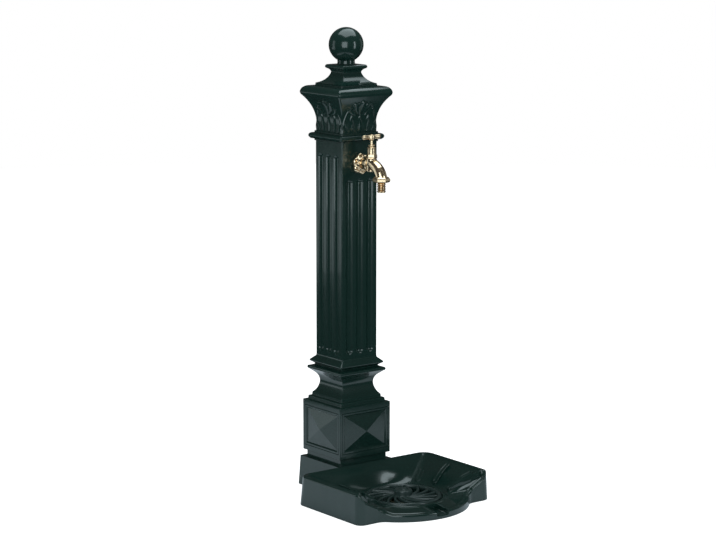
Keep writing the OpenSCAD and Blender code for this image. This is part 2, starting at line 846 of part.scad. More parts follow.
// Basin
lobe_axis = lobe_reach - lobe_r;
fillet_y = basin_front + lobe_fillet_r;
fillet_x = sqrt(pow(lobe_r + lobe_fillet_r, 2) - pow(fillet_y - lobe_axis, 2));
lobe_angle = atan2(fillet_y - lobe_axis, fillet_x);
function basin_side(inset) = concat(
    arc([basin_half - back_corner_r, -basin_back - back_corner_r], back_corner_r - inset, 90, 0),
    arc([basin_half - front_corner_r, front_corner_r - basin_front], front_corner_r - inset, 0, -90),
    arc([fillet_x, -fillet_y], lobe_fillet_r + inset, 90, 180 - lobe_angle),
    arc([0, -lobe_axis], lobe_r - inset, -lobe_angle, -90, 12));
module basin_plan(inset) {
    right = basin_side(inset);
    polygon(concat(right, [for (i = [len(right) - 2 : -1 : 0]) [-right[i][0], right[i][1]]]));
}

recess_d = grate_d + 2 * grate_gap;
kerb_d = recess_d + 2 * kerb_w;
drain_reach = nut_seat + bolt_head_h + drain_gap + kerb_d / 2;
sump_d = grate_d - 2 * ledge_w;
outlet_outer = outlet_d + 2 * outlet_wall;
// The open space above the dish, lowered by drop
module dish(drop) {
    past_front = lobe_reach + rim_h;
    inner_r = back_corner_r - rim_w;
    corner_x = basin_half - rim_w - inner_r;
    translate([0, 0, -drop]) hull() {
        translate([0, -drain_reach, dish_floor_z]) cylinder(d = kerb_d, h = over, $fn = 48);
        translate([-apron_half, -past_front, apron_z]) cube([2 * apron_half, rim_h, over]);
        for (side = [-1, 1]) {
            translate([side * corner_x, -basin_back - back_corner_r, rim_h])
                cylinder(r = inner_r, h = rim_h, $fn = 32);
            translate([side * (corner_x + inner_r - over / 2) - over / 2, -past_front, rim_h])
                cube([over, over, rim_h]);
        }
    }
}

module drain_axis(d, from, to) {
    upright(d, from, to, drain_reach);
}

module dish_ribs() {
    intersection() {
        difference() {
            dish(over);
            dish(-rib_h);
        }
        linear_extrude(height = rim_h) basin_plan(rim_w / 2);
        for (side = [0, 180], i = [-1 : 1]) translate([0, -drain_reach, 0])
            rotate(side + i * rib_turn) translate([kerb_d / 2 + rib_w, 0, 0]) {
                translate([0, -rib_w / 2, 0]) cube([rib_len - rib_w, rib_w, rim_h]);
                cylinder(d = rib_w, h = rim_h);
                translate([rib_len - rib_w, 0, 0]) cylinder(d = rib_w, h = rim_h);
            }
    }
}

module basin_casting() {
    notch_top = dish_floor_z + kerb_h + over;
    notch_back = drain_reach + kerb_d / 2;
    color(paint) difference() {
        union() {
            difference() {
                linear_extrude(height = rim_h) basin_plan(0);
                dish(0);
                difference() {
                    translate([0, 0, -over]) linear_extrude(height = rim_h - dish_t + over)
                        basin_plan(basin_wall);
                    dish(dish_t);
                    drain_axis(recess_d + 2 * basin_wall, sump_z - sump_t, rim_h);
                    translate([-notch_w / 2 - basin_wall, -lobe_reach, 0])
                        cube([notch_w + 2 * basin_wall, lobe_reach - drain_reach - recess_d / 2, rim_h]);
                    foot_block(foot_gap + basin_wall);
                    bolt_places() rotate([90, 0, 0]) cylinder(d = bolt_boss_d, h = nut_seat);
                }
            }
            drain_axis(kerb_d, sump_z, dish_floor_z + kerb_h);
            dish_ribs();
        }
        drain_axis(recess_d, ledge_z, rim_h);
        drain_axis(sump_d, sump_z, rim_h);
        drain_axis(outlet_outer + 2 * thread_gap, -over, rim_h);
        foot_block(foot_gap);
        translate([-notch_w / 2, -lobe_reach - over, notch_z])
            cube([notch_w, lobe_reach - notch_back + over, notch_top]);
        bolt_places() rotate([90, 0, 0]) cylinder(d = bolt_d + 2 * hole_gap, h = nut_seat + over);
    }
}

bolt_grip = nut_seat - bolt_seat + bolt_head_h;
module basin_bolts() {
    color(steel) bolt_places() rotate([90, 0, 0]) {
        translate([0, 0, bolt_seat - bolt_head_h]) hexagon(bolt_af, bolt_head_h);
        translate([0, 0, bolt_seat - over]) cylinder(d = bolt_d, h = bolt_grip + 2 * over);
    }
}

module basin_nuts() {
    color(steel) bolt_places() rotate([90, 0, 0]) translate([0, 0, nut_seat]) difference() {
        hexagon(bolt_af, bolt_head_h);
        translate([0, 0, -over]) cylinder(d = bolt_d + 2 * thread_gap, h = bolt_head_h + 2 * over);
    }
}

// Drain
module drain_grate() {
    slot_axis = (boss_d + grate_d - 2 * grate_ring_w) / 4;
    slot_l = grate_d / 2 - grate_ring_w - boss_d / 2 - slot_margin;
    slot_w = 2 * PI * slot_axis * cos(slot_slant) / slot_count - grate_bar_w;
    z_boss = ledge_z + grate_t + boss_rise;
    color(paint) translate([0, -drain_reach, ledge_z]) {
        linear_extrude(height = grate_t) difference() {
            circle(d = grate_d);
            for (i = [0 : slot_count - 1]) rotate(360 * i / slot_count) translate([0, slot_axis])
                rotate(slot_slant) translate([0, -slot_l / 2]) leaf(slot_l, slot_w);
        }
        cylinder(d = boss_d, h = z_boss - boss_step_h - ledge_z);
        cylinder(d = boss_d - 2 * boss_step_w, h = z_boss - ledge_z);
    }
}

module drain_waste() {
    z_flange = sump_z + outlet_gasket_t;
    color(brass) difference() {
        union() {
            drain_axis(outlet_outer, 0, z_flange + outlet_flange_t);
            drain_axis(outlet_flange_d, z_flange, z_flange + outlet_flange_t);
        }
        drain_axis(outlet_d, -over, rim_h);
    }
}

module drain_gasket() {
    color(rubber) difference() {
        drain_axis(outlet_flange_d, sump_z, sump_z + outlet_gasket_t);
        drain_axis(outlet_outer + 2 * thread_gap, 0, rim_h);
    }
}

module drain_locknut() {
    color(brass) difference() {
        drain_axis(outlet_flange_d, 0, sump_z - sump_t);
        drain_axis(outlet_outer + 2 * thread_gap, -over, rim_h);
    }
}

// Supply
z_pipe = inlet_z + inlet_l + over;
elbow_back = shaft_bore_w / 2 - elbow_gasket_t;
z_pipe_top = z_tap - tail_d / 2 - 2 * over;
module supply_pipe() {
    color(steel) difference() {
        upright(pipe_d, z_pipe, z_pipe_top, pipe_reach);
        upright(pipe_bore_d, z_pipe - over, z_pipe_top + over, pipe_reach);
    }
}

module inlet_coupling() {
    color(brass) difference() {
        upright(coupling_d, inlet_z, z_pipe + pipe_seat, pipe_reach);
        upright(inlet_d, inlet_z - over, inlet_z + inlet_l, pipe_reach);
        upright(pipe_bore_d, inlet_z, z_pipe + over, pipe_reach);
        upright(pipe_d + 2 * thread_gap, z_pipe, z_pipe + pipe_seat + over, pipe_reach);
    }
}

tail_end = pipe_reach + tail_clear;
module wall_elbow() {
    color(brass) difference() {
        union() {
            upright(elbow_d, z_pipe_top - pipe_seat, z_tap + elbow_d / 2, pipe_reach);
            forward(elbow_d, pipe_reach, elbow_back);
            forward(elbow_face_d, elbow_back - elbow_face_t, elbow_back);
        }
        upright(pipe_d + 2 * thread_gap, z_pipe_top - pipe_seat - over, z_pipe_top, pipe_reach);
        upright(pipe_bore_d, z_pipe_top - over, z_tap + pipe_bore_d / 2, pipe_reach);
        forward(tail_d + 2 * thread_gap, tail_end, elbow_back + over);
        forward(tail_bore_d, pipe_reach, tail_end + over);
    }
}

module elbow_gasket() {
    color(rubber) difference() {
        forward(elbow_face_d, elbow_back, shaft_bore_w / 2);
        forward(tail_d + 2 * hole_gap, elbow_back - over, shaft_half);
    }
}

// Tap
collar_reach = shaft_half + rosette_t;
stem_y = shaft_half + stem_reach;
spout_y = stem_y + spout_reach;
z_bend = z_tap - bend_r;
z_outlet = z_bend - outlet_l;
z_seat = z_tap + seat_up;
module on_stem(z) {
    translate([0, -stem_y, z]) children();
}

module rosette() {
    dome = (rosette_d - tap_collar_d) / 2;
    color(brass) difference() {
        translate([0, -shaft_half, z_tap]) rotate([90, 0, 0]) difference() {
            rotate_extrude() polygon(concat([[0, 0], [rosette_d / 2, 0]],
                [for (i = [0 : 6]) let(a = 15 * i)
                    [tap_collar_d / 2 + dome * cos(a), rosette_rim + (rosette_t - rosette_rim) * sin(a)]],
                [[0, rosette_t]]));
            for (i = [0 : scallop_count - 1]) rotate(360 * i / scallop_count)
                translate([(rosette_d + scallop_d) / 2 - scallop_depth, 0, -over])
                    cylinder(d = scallop_d, h = rosette_t);
        }
        forward(tail_d + 2 * hole_gap, shaft_half - over, collar_reach + over);
    }
}

module bend(d, from, to) {
    translate([0, bend_r - spout_y, z_bend]) rotate([90, 0, -90]) rotate([0, 0, from])
        rotate_extrude(angle = to - from) translate([bend_r, 0]) circle(d = d);
}

// A slanting bore in the tap's middle plane, between two points given as reach and height
module slant(d, a, b) {
    run = b - a;
    translate([0, -a[0], a[1]]) rotate([atan2(run[0], run[1]), 0, 0]) cylinder(d = d, h = norm(run));
}

z_web = z_seat - seat_rise;
z_pocket = z_web - seat_web;
chamber_bore_d = seat_d + 2 * seat_rise;
module tap_body() {
    wall = (chamber_d - chamber_bore_d) / 2;
    way_end = [spout_y - bend_r + bend_r * cos(bend_way), z_bend + bend_r * sin(bend_way)];
    color(brass) difference() {
        union() {
            forward(tail_d, tail_end, collar_reach);
            forward(tap_collar_d, collar_reach, collar_reach + tap_collar_t);
            forward(barrel_d, collar_reach, stem_y);
            on_stem(z_tap - chamber_depth) cylinder(d = chamber_d, h = chamber_depth + chamber_rise);
            forward(spout_d, stem_y, spout_y - bend_r);
            bend(spout_d, 0, 90);
            upright(spout_d, z_outlet, z_bend, spout_y);
        }
        forward(tail_bore_d, tail_end - over, stem_y - chamber_d / 2);
        slant(way_d, [stem_y - chamber_d / 2 - over, z_web - way_d / 2],
            [stem_y, z_pocket - way_d / 2 - over]);
        on_stem(z_tap - chamber_depth + wall) cylinder(d = seat_bore_d, h = chamber_depth);
        difference() {
            on_stem(z_web) cylinder(d = chamber_bore_d, h = chamber_rise);
            on_stem(z_web) cylinder(d = seat_d, h = seat_rise);
        }
        on_stem(z_web - over) cylinder(d = seat_bore_d, h = seat_rise + 2 * over);
        on_stem(z_tap + chamber_rise - bonnet_thread_l) cylinder(d = bonnet_thread_d, h = chamber_rise);
        slant(outlet_way_d, [stem_y, z_seat + way_d], way_end);
        bend(spout_bore_d, 0, bend_way);
        upright(spout_bore_d, z_outlet - over, z_bend, spout_y);
    }
}

// Headwork, closed at rest
z_jumper = z_seat + washer_t;
z_plate = z_jumper + jumper_t;
z_bonnet = z_tap + chamber_rise + bonnet_gasket_t;
z_barrel = z_bonnet + bonnet_hex_h;
z_gland = z_barrel + bonnet_h;
z_packing = z_gland - packing_box_h;
z_room = z_plate + valve_lift + room_gap;
z_spindle = z_plate + run_gap;
z_thread_top = z_packing - valve_lift - room_gap;
z_handle = z_gland + gland_h + bare_stem;
z_square = z_handle + hub_h - hub_roof;
jumper_stem_l = z_room - z_plate;
module stem_rod(d, from, to) {
    on_stem(from) cylinder(d = d, h = to - from);
}

module valve_washer() {
    color(rubber) difference() {
        stem_rod(washer_d, z_seat, z_jumper);
        stem_rod(stud_d + 2 * thread_gap, z_seat - over, z_jumper + over);
    }
}

module valve_jumper() {
    color(brass) {
        stem_rod(stud_d, z_seat - jumper_nut_h, z_jumper);
        stem_rod(jumper_d, z_jumper, z_plate);
        stem_rod(jumper_stem_d, z_plate, z_plate + jumper_stem_l);
    }
}

module jumper_nut() {
    color(brass) difference() {
        on_stem(z_seat - jumper_nut_h) hexagon(jumper_nut_af, jumper_nut_h);
        stem_rod(stud_d + 2 * thread_gap, z_seat - jumper_nut_h - over, z_seat + over);
    }
}

module bonnet() {
    color(brass) difference() {
        union() {
            stem_rod(bonnet_thread_d - 2 * thread_gap, z_bonnet - bonnet_thread_l, z_bonnet);
            on_stem(z_bonnet) hexagon(bonnet_af, bonnet_hex_h);
            stem_rod(bonnet_d, z_barrel, z_gland);
        }
        stem_rod(jumper_d + 2 * room_gap, z_bonnet - bonnet_thread_l - over, z_room);
        stem_rod(spindle_thread_d + 2 * run_gap, z_room - over, z_packing + over);
        stem_rod(packing_d, z_packing, z_gland + over);
    }
}

module bonnet_gasket() {
    color(rubber) difference() {
        stem_rod(chamber_d, z_tap + chamber_rise, z_bonnet);
        stem_rod(bonnet_thread_d, z_tap, z_bonnet + over);
    }
}

module gland_packing() {
    color(rubber) difference() {
        stem_rod(packing_d - 2 * thread_gap, z_packing, z_gland - gland_nose);
        stem_rod(stem_d + 2 * run_gap, z_packing - over, z_gland);
    }
}

module gland_nut() {
    color(brass) difference() {
        union() {
            stem_rod(packing_d - 2 * thread_gap, z_gland - gland_nose, z_gland);
            stem_rod(gland_d, z_gland, z_gland + gland_h);
        }
        stem_rod(stem_d + 2 * run_gap, z_packing, z_handle);
    }
}

module spindle() {
    color(brass) difference() {
        union() {
            stem_rod(spindle_thread_d, z_spindle, z_thread_top);
            stem_rod(stem_d, z_thread_top, z_handle);
            on_stem(z_handle) linear_extrude(height = hub_h - hub_roof) square(square_w, center = true);
        }
        stem_rod(jumper_stem_d + 2 * run_gap, z_plate, z_plate + jumper_stem_l + room_gap);
        stem_rod(screw_d + 2 * thread_gap, z_square - screw_grip - over, z_square + over);
    }
}

module handle() {
    wing_x = (handle_l - wing_d) / 2;
    color(brass) difference() {
        union() {
            stem_rod(hub_d, z_handle, z_handle + hub_h);
            on_stem(z_handle + hub_h / 2) rotate([90, 0, 0])
                linear_extrude(height = wing_t, center = true) {
                    square([2 * wing_x, arm_h], center = true);
                    for (side = [-1, 1]) translate([side * wing_x, 0]) circle(d = wing_d);
                }
        }
        on_stem(z_handle - over) linear_extrude(height = hub_h - hub_roof + over + square_gap)
            square(square_w + 2 * square_gap, center = true);
        stem_rod(screw_d + 2 * thread_gap, z_square, z_handle + hub_h + over);
    }
}

module handle_screw() {
    color(brass) {
        stem_rod(screw_d, z_square - screw_grip, z_handle + hub_h);
        stem_rod(screw_head_d, z_handle + hub_h, z_handle + hub_h + screw_head_h);
    }
}

// Hose union
z_collar_top = z_outlet - union_washer_t;
z_lip = z_collar_top - tail_collar_t;
z_union = z_lip - union_lip;
z_hose = z_union - hose_l;
barb_pitch = (hose_l - hose_land - over) / barb_count;
tail_collar_d = spout_d - 2 * tail_gap;
module on_outlet(z) {
    translate([0, -spout_y, z]) children();
}

module union_nut() {
    bore = spout_d + 2 * union_gap;
    relief = z_bend - union_gap - z_union;
    mouth = bore + 2 * (union_h - relief);
    color(brass) on_outlet(z_union) difference() {
        hexagon(union_af, union_h);
        translate([0, 0, union_lip]) cylinder(d = bore, h = union_h);
        translate([0, 0, relief]) cylinder(d1 = bore, d2 = mouth, h = union_h - relief);
        translate([0, 0, -over]) cylinder(d = hose_d + 2 * barb_h + 2 * tail_gap, h = union_h);
    }
}

module hose_tail() {
    color(brass) on_outlet(0) difference() {
        rotate_extrude() polygon(concat(
            [[0, z_hose], [hose_d / 2, z_hose], [hose_d / 2, z_hose + hose_land]],
            [for (i = [1 : barb_count], p = [[barb_h, barb_drop], [0, 0]])
                [hose_d / 2 + p[0], z_hose + hose_land + barb_pitch * i - p[1]]],
            [[hose_d / 2, z_lip], [tail_collar_d / 2, z_lip], [tail_collar_d / 2, z_collar_top]],
            [[0, z_collar_top]]));
        translate([0, 0, z_hose - over]) cylinder(d = hose_bore_d, h = z_outlet - z_hose);
    }
}

module union_washer() {
    color(rubber) on_outlet(z_collar_top) difference() {
        cylinder(d = tail_collar_d, h = union_washer_t);
        translate([0, 0, -over]) cylinder(d = spout_bore_d, h = union_washer_t + 2 * over);
    }
}

foot_casting();
pedestal_casting();
shaft_casting();
capital_casting();
cap_casting();
ball_finial();
tie_rod();
tie_bar();
tie_washer();
tie_nut();
basin_casting();
basin_bolts();
basin_nuts();
drain_grate();
drain_waste();
drain_gasket();
drain_locknut();
supply_pipe();
inlet_coupling();
wall_elbow();
elbow_gasket();
rosette();
tap_body();
bonnet();
bonnet_gasket();
gland_nut();
gland_packing();
valve_jumper();
valve_washer();
jumper_nut();
spindle();
handle();
handle_screw();
union_nut();
hose_tail();
union_washer();
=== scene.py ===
"""Garden standpipe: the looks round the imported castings, in the same frame as they are.

Sizes are written in millimetres and turned into metres where a mesh is made. The studio is in metres.
"""

import json
import math

import bmesh
import bpy
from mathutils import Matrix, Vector


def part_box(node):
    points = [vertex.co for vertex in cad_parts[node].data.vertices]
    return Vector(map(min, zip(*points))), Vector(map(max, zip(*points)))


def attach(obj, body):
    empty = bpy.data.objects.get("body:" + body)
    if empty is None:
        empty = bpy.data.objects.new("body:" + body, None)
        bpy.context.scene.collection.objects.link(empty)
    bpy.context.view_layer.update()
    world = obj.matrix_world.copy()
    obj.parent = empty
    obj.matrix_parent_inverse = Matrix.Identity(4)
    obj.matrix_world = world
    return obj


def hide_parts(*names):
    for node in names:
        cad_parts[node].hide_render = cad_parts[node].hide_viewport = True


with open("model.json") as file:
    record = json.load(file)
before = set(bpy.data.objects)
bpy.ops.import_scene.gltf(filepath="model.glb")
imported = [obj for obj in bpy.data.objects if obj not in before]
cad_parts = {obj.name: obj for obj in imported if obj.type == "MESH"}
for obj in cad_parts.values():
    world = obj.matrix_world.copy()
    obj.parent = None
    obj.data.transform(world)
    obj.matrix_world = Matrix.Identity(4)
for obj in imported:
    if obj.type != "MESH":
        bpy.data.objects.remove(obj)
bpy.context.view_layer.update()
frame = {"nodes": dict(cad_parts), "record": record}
nodes = frame["nodes"]
MM = 0.001
Y, Z = 1, 2


def middle_of(node, axis):
    """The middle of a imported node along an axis, to a tenth of a millimetre."""
    low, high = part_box(node)
    return round((low[axis] + high[axis]) / 2 / MM, 1)


def top_of(node):
    """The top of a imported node, to a tenth of a millimetre."""
    return round(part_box(node)[1][Z] / MM, 1)


# Working in the mesh editor

def leave():
    """Goes back to object mode and drops every selection."""
    if bpy.context.object and bpy.context.object.mode != "OBJECT":
        bpy.ops.object.mode_set(mode="OBJECT")
    bpy.ops.object.select_all(action="DESELECT")


def take(piece):
    """Makes one piece the only selected and active one."""
    leave()
    piece.select_set(True)
    bpy.context.view_layer.objects.active = piece


def edit(piece):
    """Opens a piece in edit mode with all of it selected."""
    take(piece)
    bpy.ops.object.mode_set(mode="EDIT")
    bpy.ops.mesh.select_all(action="SELECT")


def pick(piece, kind, test):
    """Selects the "verts", "edges" or "faces" that pass a test, in edit mode."""
    bpy.ops.mesh.select_mode(type={"verts": "VERT", "edges": "EDGE", "faces": "FACE"}[kind])
    bpy.ops.mesh.select_all(action="DESELECT")
    mesh = bmesh.from_edit_mesh(piece.data)
    for part in getattr(mesh, kind):
        if test(part):
            part.select_set(True)
    mesh.select_flush_mode()
    bmesh.update_edit_mesh(piece.data)


def started(name):
    """Names the primitive that was just added and puts its place into its mesh."""
    piece = bpy.context.object
    piece.name = name
    piece.data.name = name
    bpy.ops.object.transform_apply(location=True, rotation=True, scale=True)
    return piece


def added(name, data):
    """A new object in the scene."""
    thing = bpy.data.objects.new(name, data)
    bpy.context.scene.collection.objects.link(thing)
    return thing


def finish_with(piece, kind, **settings):
    """Adds a modifier and applies it."""
    take(piece)
    step = piece.modifiers.new(kind.lower(), kind)
    for key, value in settings.items():
        setattr(step, key, value)
    bpy.ops.object.modifier_apply(modifier=step.name)


def tidy(piece, angle=35):
    """Closes seams, turns the faces outwards and smooths all but the sharp edges."""
    edit(piece)
    bpy.ops.mesh.remove_doubles(threshold=MM * 0.01)
    bpy.ops.mesh.normals_make_consistent(inside=False)
    take(piece)
    bpy.ops.object.shade_smooth_by_angle(angle=math.radians(angle))
    finish_with(piece, "WEIGHTED_NORMAL", keep_sharp=True)
    leave()
    return piece


def rounded(piece, width, segments, sharp):
    """Rounds the edges that turn by more than an angle in degrees."""
    finish_with(piece, "BEVEL", width=MM * width, segments=segments, limit_method="ANGLE",
                angle_limit=math.radians(sharp))


def cut(piece, cutter):
    """Takes a cutter's shape out of a piece."""
    finish_with(piece, "BOOLEAN", operation="DIFFERENCE", object=cutter, solver="EXACT")
    bpy.data.objects.remove(cutter)
    return piece


def joined(name, pieces):
    """Joins pieces into the first one."""
    leave()
    for piece in pieces:
        piece.select_set(True)
    bpy.context.view_layer.objects.active = pieces[0]
    bpy.ops.object.join()
    pieces[0].name = name
    pieces[0].data.name = name
    return pieces[0]


def turned(piece, axis, degrees):
    """Turns a piece's mesh about one of the frame's axes."""
    edit(piece)
    bpy.ops.transform.rotate(value=-math.radians(degrees), orient_axis=axis, center_override=(0, 0, 0))
    leave()
    return piece


def moved(piece, shift):
    """Moves a piece's mesh by millimetres."""
    edit(piece)
    bpy.ops.transform.translate(value=tuple(MM * c for c in shift))
    leave()
    return piece


def copies_of(piece, count):
    """A piece and copies of it, each with a mesh of its own."""
    leave()
    return [piece] + [added(piece.name, piece.data.copy()) for _ in range(count - 1)]


def ring_of(piece, count, start=0):
    """A piece and its copies, evenly turned about the Z axis from a starting angle."""
    return [turned(one, "Z", start + 360 * k / count) for k, one in enumerate(copies_of(piece, count))]


# Profiles

def arc(x, z, r, start, end, steps):
    """Points on an arc, degrees from +X towards +Z."""
    turns = [math.radians(start + (end - start) * i / steps) for i in range(steps + 1)]
    return [(x + r * math.cos(a), z + r * math.sin(a)) for a in turns]


def eased(points, radius, sharp=25, steps=4):
    """Rounds each corner of a profile that turns by more than the sharp angle."""
    out = [points[0]]
    for a, b, c in zip(points, points[1:], points[2:]):
        a, b, c = Vector(a), Vector(b), Vector(c)
        before, after = b - a, c - b
        if before.length < 1e-6 or after.length < 1e-6 or before.angle(after) < math.radians(sharp):
            out.append(tuple(b))
            continue
        trim = min(radius, before.length * 0.45, after.length * 0.45)
        first, last = b - before.normalized() * trim, b + after.normalized() * trim
        for i in range(steps + 1):
            t = i / steps
            out.append(tuple(first * (1 - t) ** 2 + b * 2 * t * (1 - t) + last * t ** 2))
    return out + [points[-1]]


def flowing(points, steps=4):
    """A smooth line through points."""
    held = [points[0], *points, points[-1]]
    line = []
    for a, b, c, d in zip(held, held[1:], held[2:], held[3:]):
        a, b, c, d = Vector(a), Vector(b), Vector(c), Vector(d)
        for i in range(steps):
            t = i / steps
            bend = (a * 2 - b * 5 + c * 4 - d) * t * t
            spot = b * 2 + (c - a) * t + bend + (b * 3 - a - c * 3 + d) * t ** 3
            line.append(tuple(spot / 2))
    return line + [points[-1]]


def drawn_up(piece, side):
    """Draws a plate up along a half profile of (half width, height), extruded and scaled at each step."""
    edit(piece)
    for (w0, z0), (w1, z1) in zip(side, side[1:]):
        bpy.ops.mesh.extrude_region_move(TRANSFORM_OT_translate={"value": (0, 0, MM * (z1 - z0))})
        bpy.ops.transform.resize(value=(w1 / w0, w1 / w0, 1), center_override=(0, 0, MM * z1))
    return piece


def square_moulding(name, side, corner):
    """A square moulding round the column's axis with slightly rounded corners."""
    leave()
    half, z = side[0]
    bpy.ops.mesh.primitive_plane_add(size=2 * MM * half, location=(0, 0, MM * z))
    piece = started(name)
    edit(piece)
    bpy.ops.mesh.bevel(offset=MM * corner, segments=3, affect="VERTICES")
    return drawn_up(piece, side)


def round_turning(name, side, count=64):
    """A turned form round the Z axis, like work from a lathe."""
    leave()
    radius, z = side[0]
    bpy.ops.mesh.primitive_circle_add(vertices=count, radius=MM * radius, fill_type="NGON",
                                      location=(0, 0, MM * z))
    return drawn_up(started(name), side)


# Camera, as the photograph was taken

CAMERA_PLACE = (-3.1700, -4.2207, 1.4198)
CAMERA_HEADING, CAMERA_DIP = 37.20, 9.79
SENSOR, LENS = 36, 117.39


def photo_camera():
    """The camera that was fitted to the edges in the photograph, in metres and degrees."""
    lens = bpy.data.cameras.new("camera")
    lens.sensor_width = SENSOR
    lens.lens = LENS
    camera = added("camera", lens)
    camera.location = CAMERA_PLACE
    heading, dip = math.radians(CAMERA_HEADING), math.radians(CAMERA_DIP)
    sight = Vector((math.sin(heading) * math.cos(dip), math.cos(heading) * math.cos(dip), -math.sin(dip)))
    camera.rotation_euler = sight.to_track_quat("-Z", "Y").to_euler()
    bpy.context.scene.camera = camera


photo_camera()


# Materials

COLOUR_A, COLOUR_B, COLOUR_OUT = 6, 7, 2


class Signal:
    """A value in a finish. Arithmetic on it adds Math nodes."""

    def __init__(self, finish, socket):
        self.finish = finish
        self.socket = socket

    def __add__(self, other):
        return self.finish.maths("ADD", self, other)

    __radd__ = __add__

    def __mul__(self, other):
        return self.finish.maths("MULTIPLY", self, other)

    __rmul__ = __mul__


class Finish:
    """A material or world and the nodes that make it."""

    def __init__(self, name, owner=None):
        self.owner = owner or bpy.data.materials.new(name)
        self.owner.use_nodes = True
        self.tree = self.owner.node_tree
        self.tree.nodes.clear()

    def node(self, kind, settings=None, inputs=None, output=0):
        """Adds a node with its settings, then the values or links of its sockets."""
        made = self.tree.nodes.new(kind)
        for key, value in (settings or {}).items():
            setattr(made, key, value)
        for key, value in (inputs or {}).items():
            if isinstance(value, Signal):
                self.tree.links.new(value.socket, made.inputs[key])
            else:
                made.inputs[key].default_value = value
        return Signal(self, made.outputs[output]) if made.outputs else None

    def maths(self, operation, first, second):
        """One Math node."""
        return self.node("ShaderNodeMath", {"operation": operation}, {0: first, 1: second})

    def ray(self, kind):
        """1 for rays of a kind and 0 for others."""
        return self.node("ShaderNodeLightPath", output=kind)

    def place(self):
        """Object coordinates, which are the frame's own in metres."""
        return self.node("ShaderNodeTexCoord", output="Object")

    def spots(self, scale, detail=4, rough=0.5, where=None):
        """Cloudy noise, about 0 to 1, with a scale in patches per metre."""
        inputs = {"Vector": where or self.place(), "Scale": scale, "Detail": detail, "Roughness": rough}
        return self.node("ShaderNodeTexNoise", None, inputs)

    def blend(self, amount, first, second):
        """Mixes two colours by an amount."""
        inputs = {"Factor": amount, COLOUR_A: (*first, 1), COLOUR_B: (*second, 1)}
        return self.node("ShaderNodeMix", {"data_type": "RGBA"}, inputs, output=COLOUR_OUT)

    def mixed(self, amount, first, second):
        """Mixes two shaders by an amount."""
        return self.node("ShaderNodeMixShader", None, {0: amount, 1: first, 2: second})

    def bump(self, height, depth, strength, under=None):
        """A bump whose full height is depth, in metres."""
        inputs = {"Height": height, "Distance": depth, "Strength": strength}
        if under:
            inputs["Normal"] = under
        return self.node("ShaderNodeBump", None, inputs)

    def surface(self, inputs):
        """Closes a material with its surface shader."""
        shader = self.node("ShaderNodeBsdfPrincipled", None, inputs)
        self.node("ShaderNodeOutputMaterial", None, {"Surface": shader})
        return self.owner


def enamel(name, rough, deep, light):
    """Dark green enamel on cast iron: slight clouding, orange peel and a soft unevenness of the casting."""
    paint = Finish(name)
    cloud = paint.spots(9, 3)
    grain = paint.spots(260, 3)
    peel = paint.spots(520, 2)
    sag = paint.spots(38, 2)
    tone = paint.blend(cloud * 0.7 + grain * 0.3, deep, light)
    relief = paint.bump(peel, 0.00025, 0.10, paint.bump(sag, 0.0012, 0.10))
    return paint.surface({"Base Color": tone, "Roughness": rough + 0.09 * cloud + 0.04 * grain,
                          "Specular IOR Level": 0.5, "IOR": 1.5, "Coat Weight": 0.15 + 0.2 * sag,
                          "Coat Roughness": 0.04, "Normal": relief})


def yellow_brass(name, rough):
    """Yellow brass, buffed or left satin, with faint tool lines and cloudy tarnish."""
    brass = Finish(name)
    cloud = brass.spots(70, 4)
    stretched = brass.node("ShaderNodeMapping", None, {"Vector": brass.place(), "Scale": (1, 1, 9)})
    lines = brass.spots(420, 3, 0.6, stretched)
    tone = brass.blend(cloud, (1.00, 0.78, 0.53), (0.96, 0.70, 0.44))
    return brass.surface({"Base Color": tone, "Metallic": 1.0,
                          "Roughness": rough + 0.08 * lines + 0.08 * cloud,
                          "Normal": brass.bump(lines, 0.00012, 0.05)})


def zinc_steel():
    """Zinc plated steel with its dull crystal patches."""
    steel = Finish("zinc_steel")
    patch = steel.spots(220, 5, 0.7)
    cloud = steel.spots(30, 3)
    tone = steel.blend(patch, (0.44, 0.46, 0.48), (0.62, 0.63, 0.63))
    return steel.surface({"Base Color": tone, "Metallic": 1.0, "Roughness": 0.30 + 0.22 * cloud,
                          "Normal": steel.bump(patch, 0.0002, 0.15)})


def black_rubber():
    """Matt sealing rubber with a fine moulded grain."""
    rubber = Finish("black_rubber")
    grain = rubber.spots(900, 3)
    cloud = rubber.spots(60, 3)
    tone = rubber.blend(cloud, (0.020, 0.020, 0.021), (0.038, 0.037, 0.036))
    return rubber.surface({"Base Color": tone, "Roughness": 0.62 + 0.2 * grain,
                           "Normal": rubber.bump(grain, 0.0002, 0.3)})


finishes = {
    "paint": enamel("gloss_paint", 0.12, (0.0046, 0.0185, 0.0148), (0.0076, 0.0250, 0.0205)),
    # The grate's enamel: the same dark green, painted lighter all over as a painted sheen for the light that
    # its ring and bars catch.
    "paint_lightened_as_sheen": enamel("paint_lightened_as_sheen", 0.22, (0.012, 0.026, 0.024), (0.024, 0.042, 0.039)),
    "brass": yellow_brass("polished_brass", 0.12),
    "satin_brass": yellow_brass("satin_brass", 0.24),
    "steel": zinc_steel(),
    "rubber": black_rubber(),
}


def coated(piece, finish):
    """Gives a piece one finish all over."""
    piece.data.materials.clear()
    piece.data.materials.append(finishes[finish])


def fitted(piece, body, node, slot, finish=None):
    """Coats a piece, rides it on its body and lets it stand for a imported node."""
    leave()
    coated(piece, finish or slot)
    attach(piece, body)
    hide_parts(node)


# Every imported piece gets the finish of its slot

for subpart in frame["record"]["subparts"]:
    coated(nodes[subpart["node"]], subpart["material_slot"])


# Studio, in metres

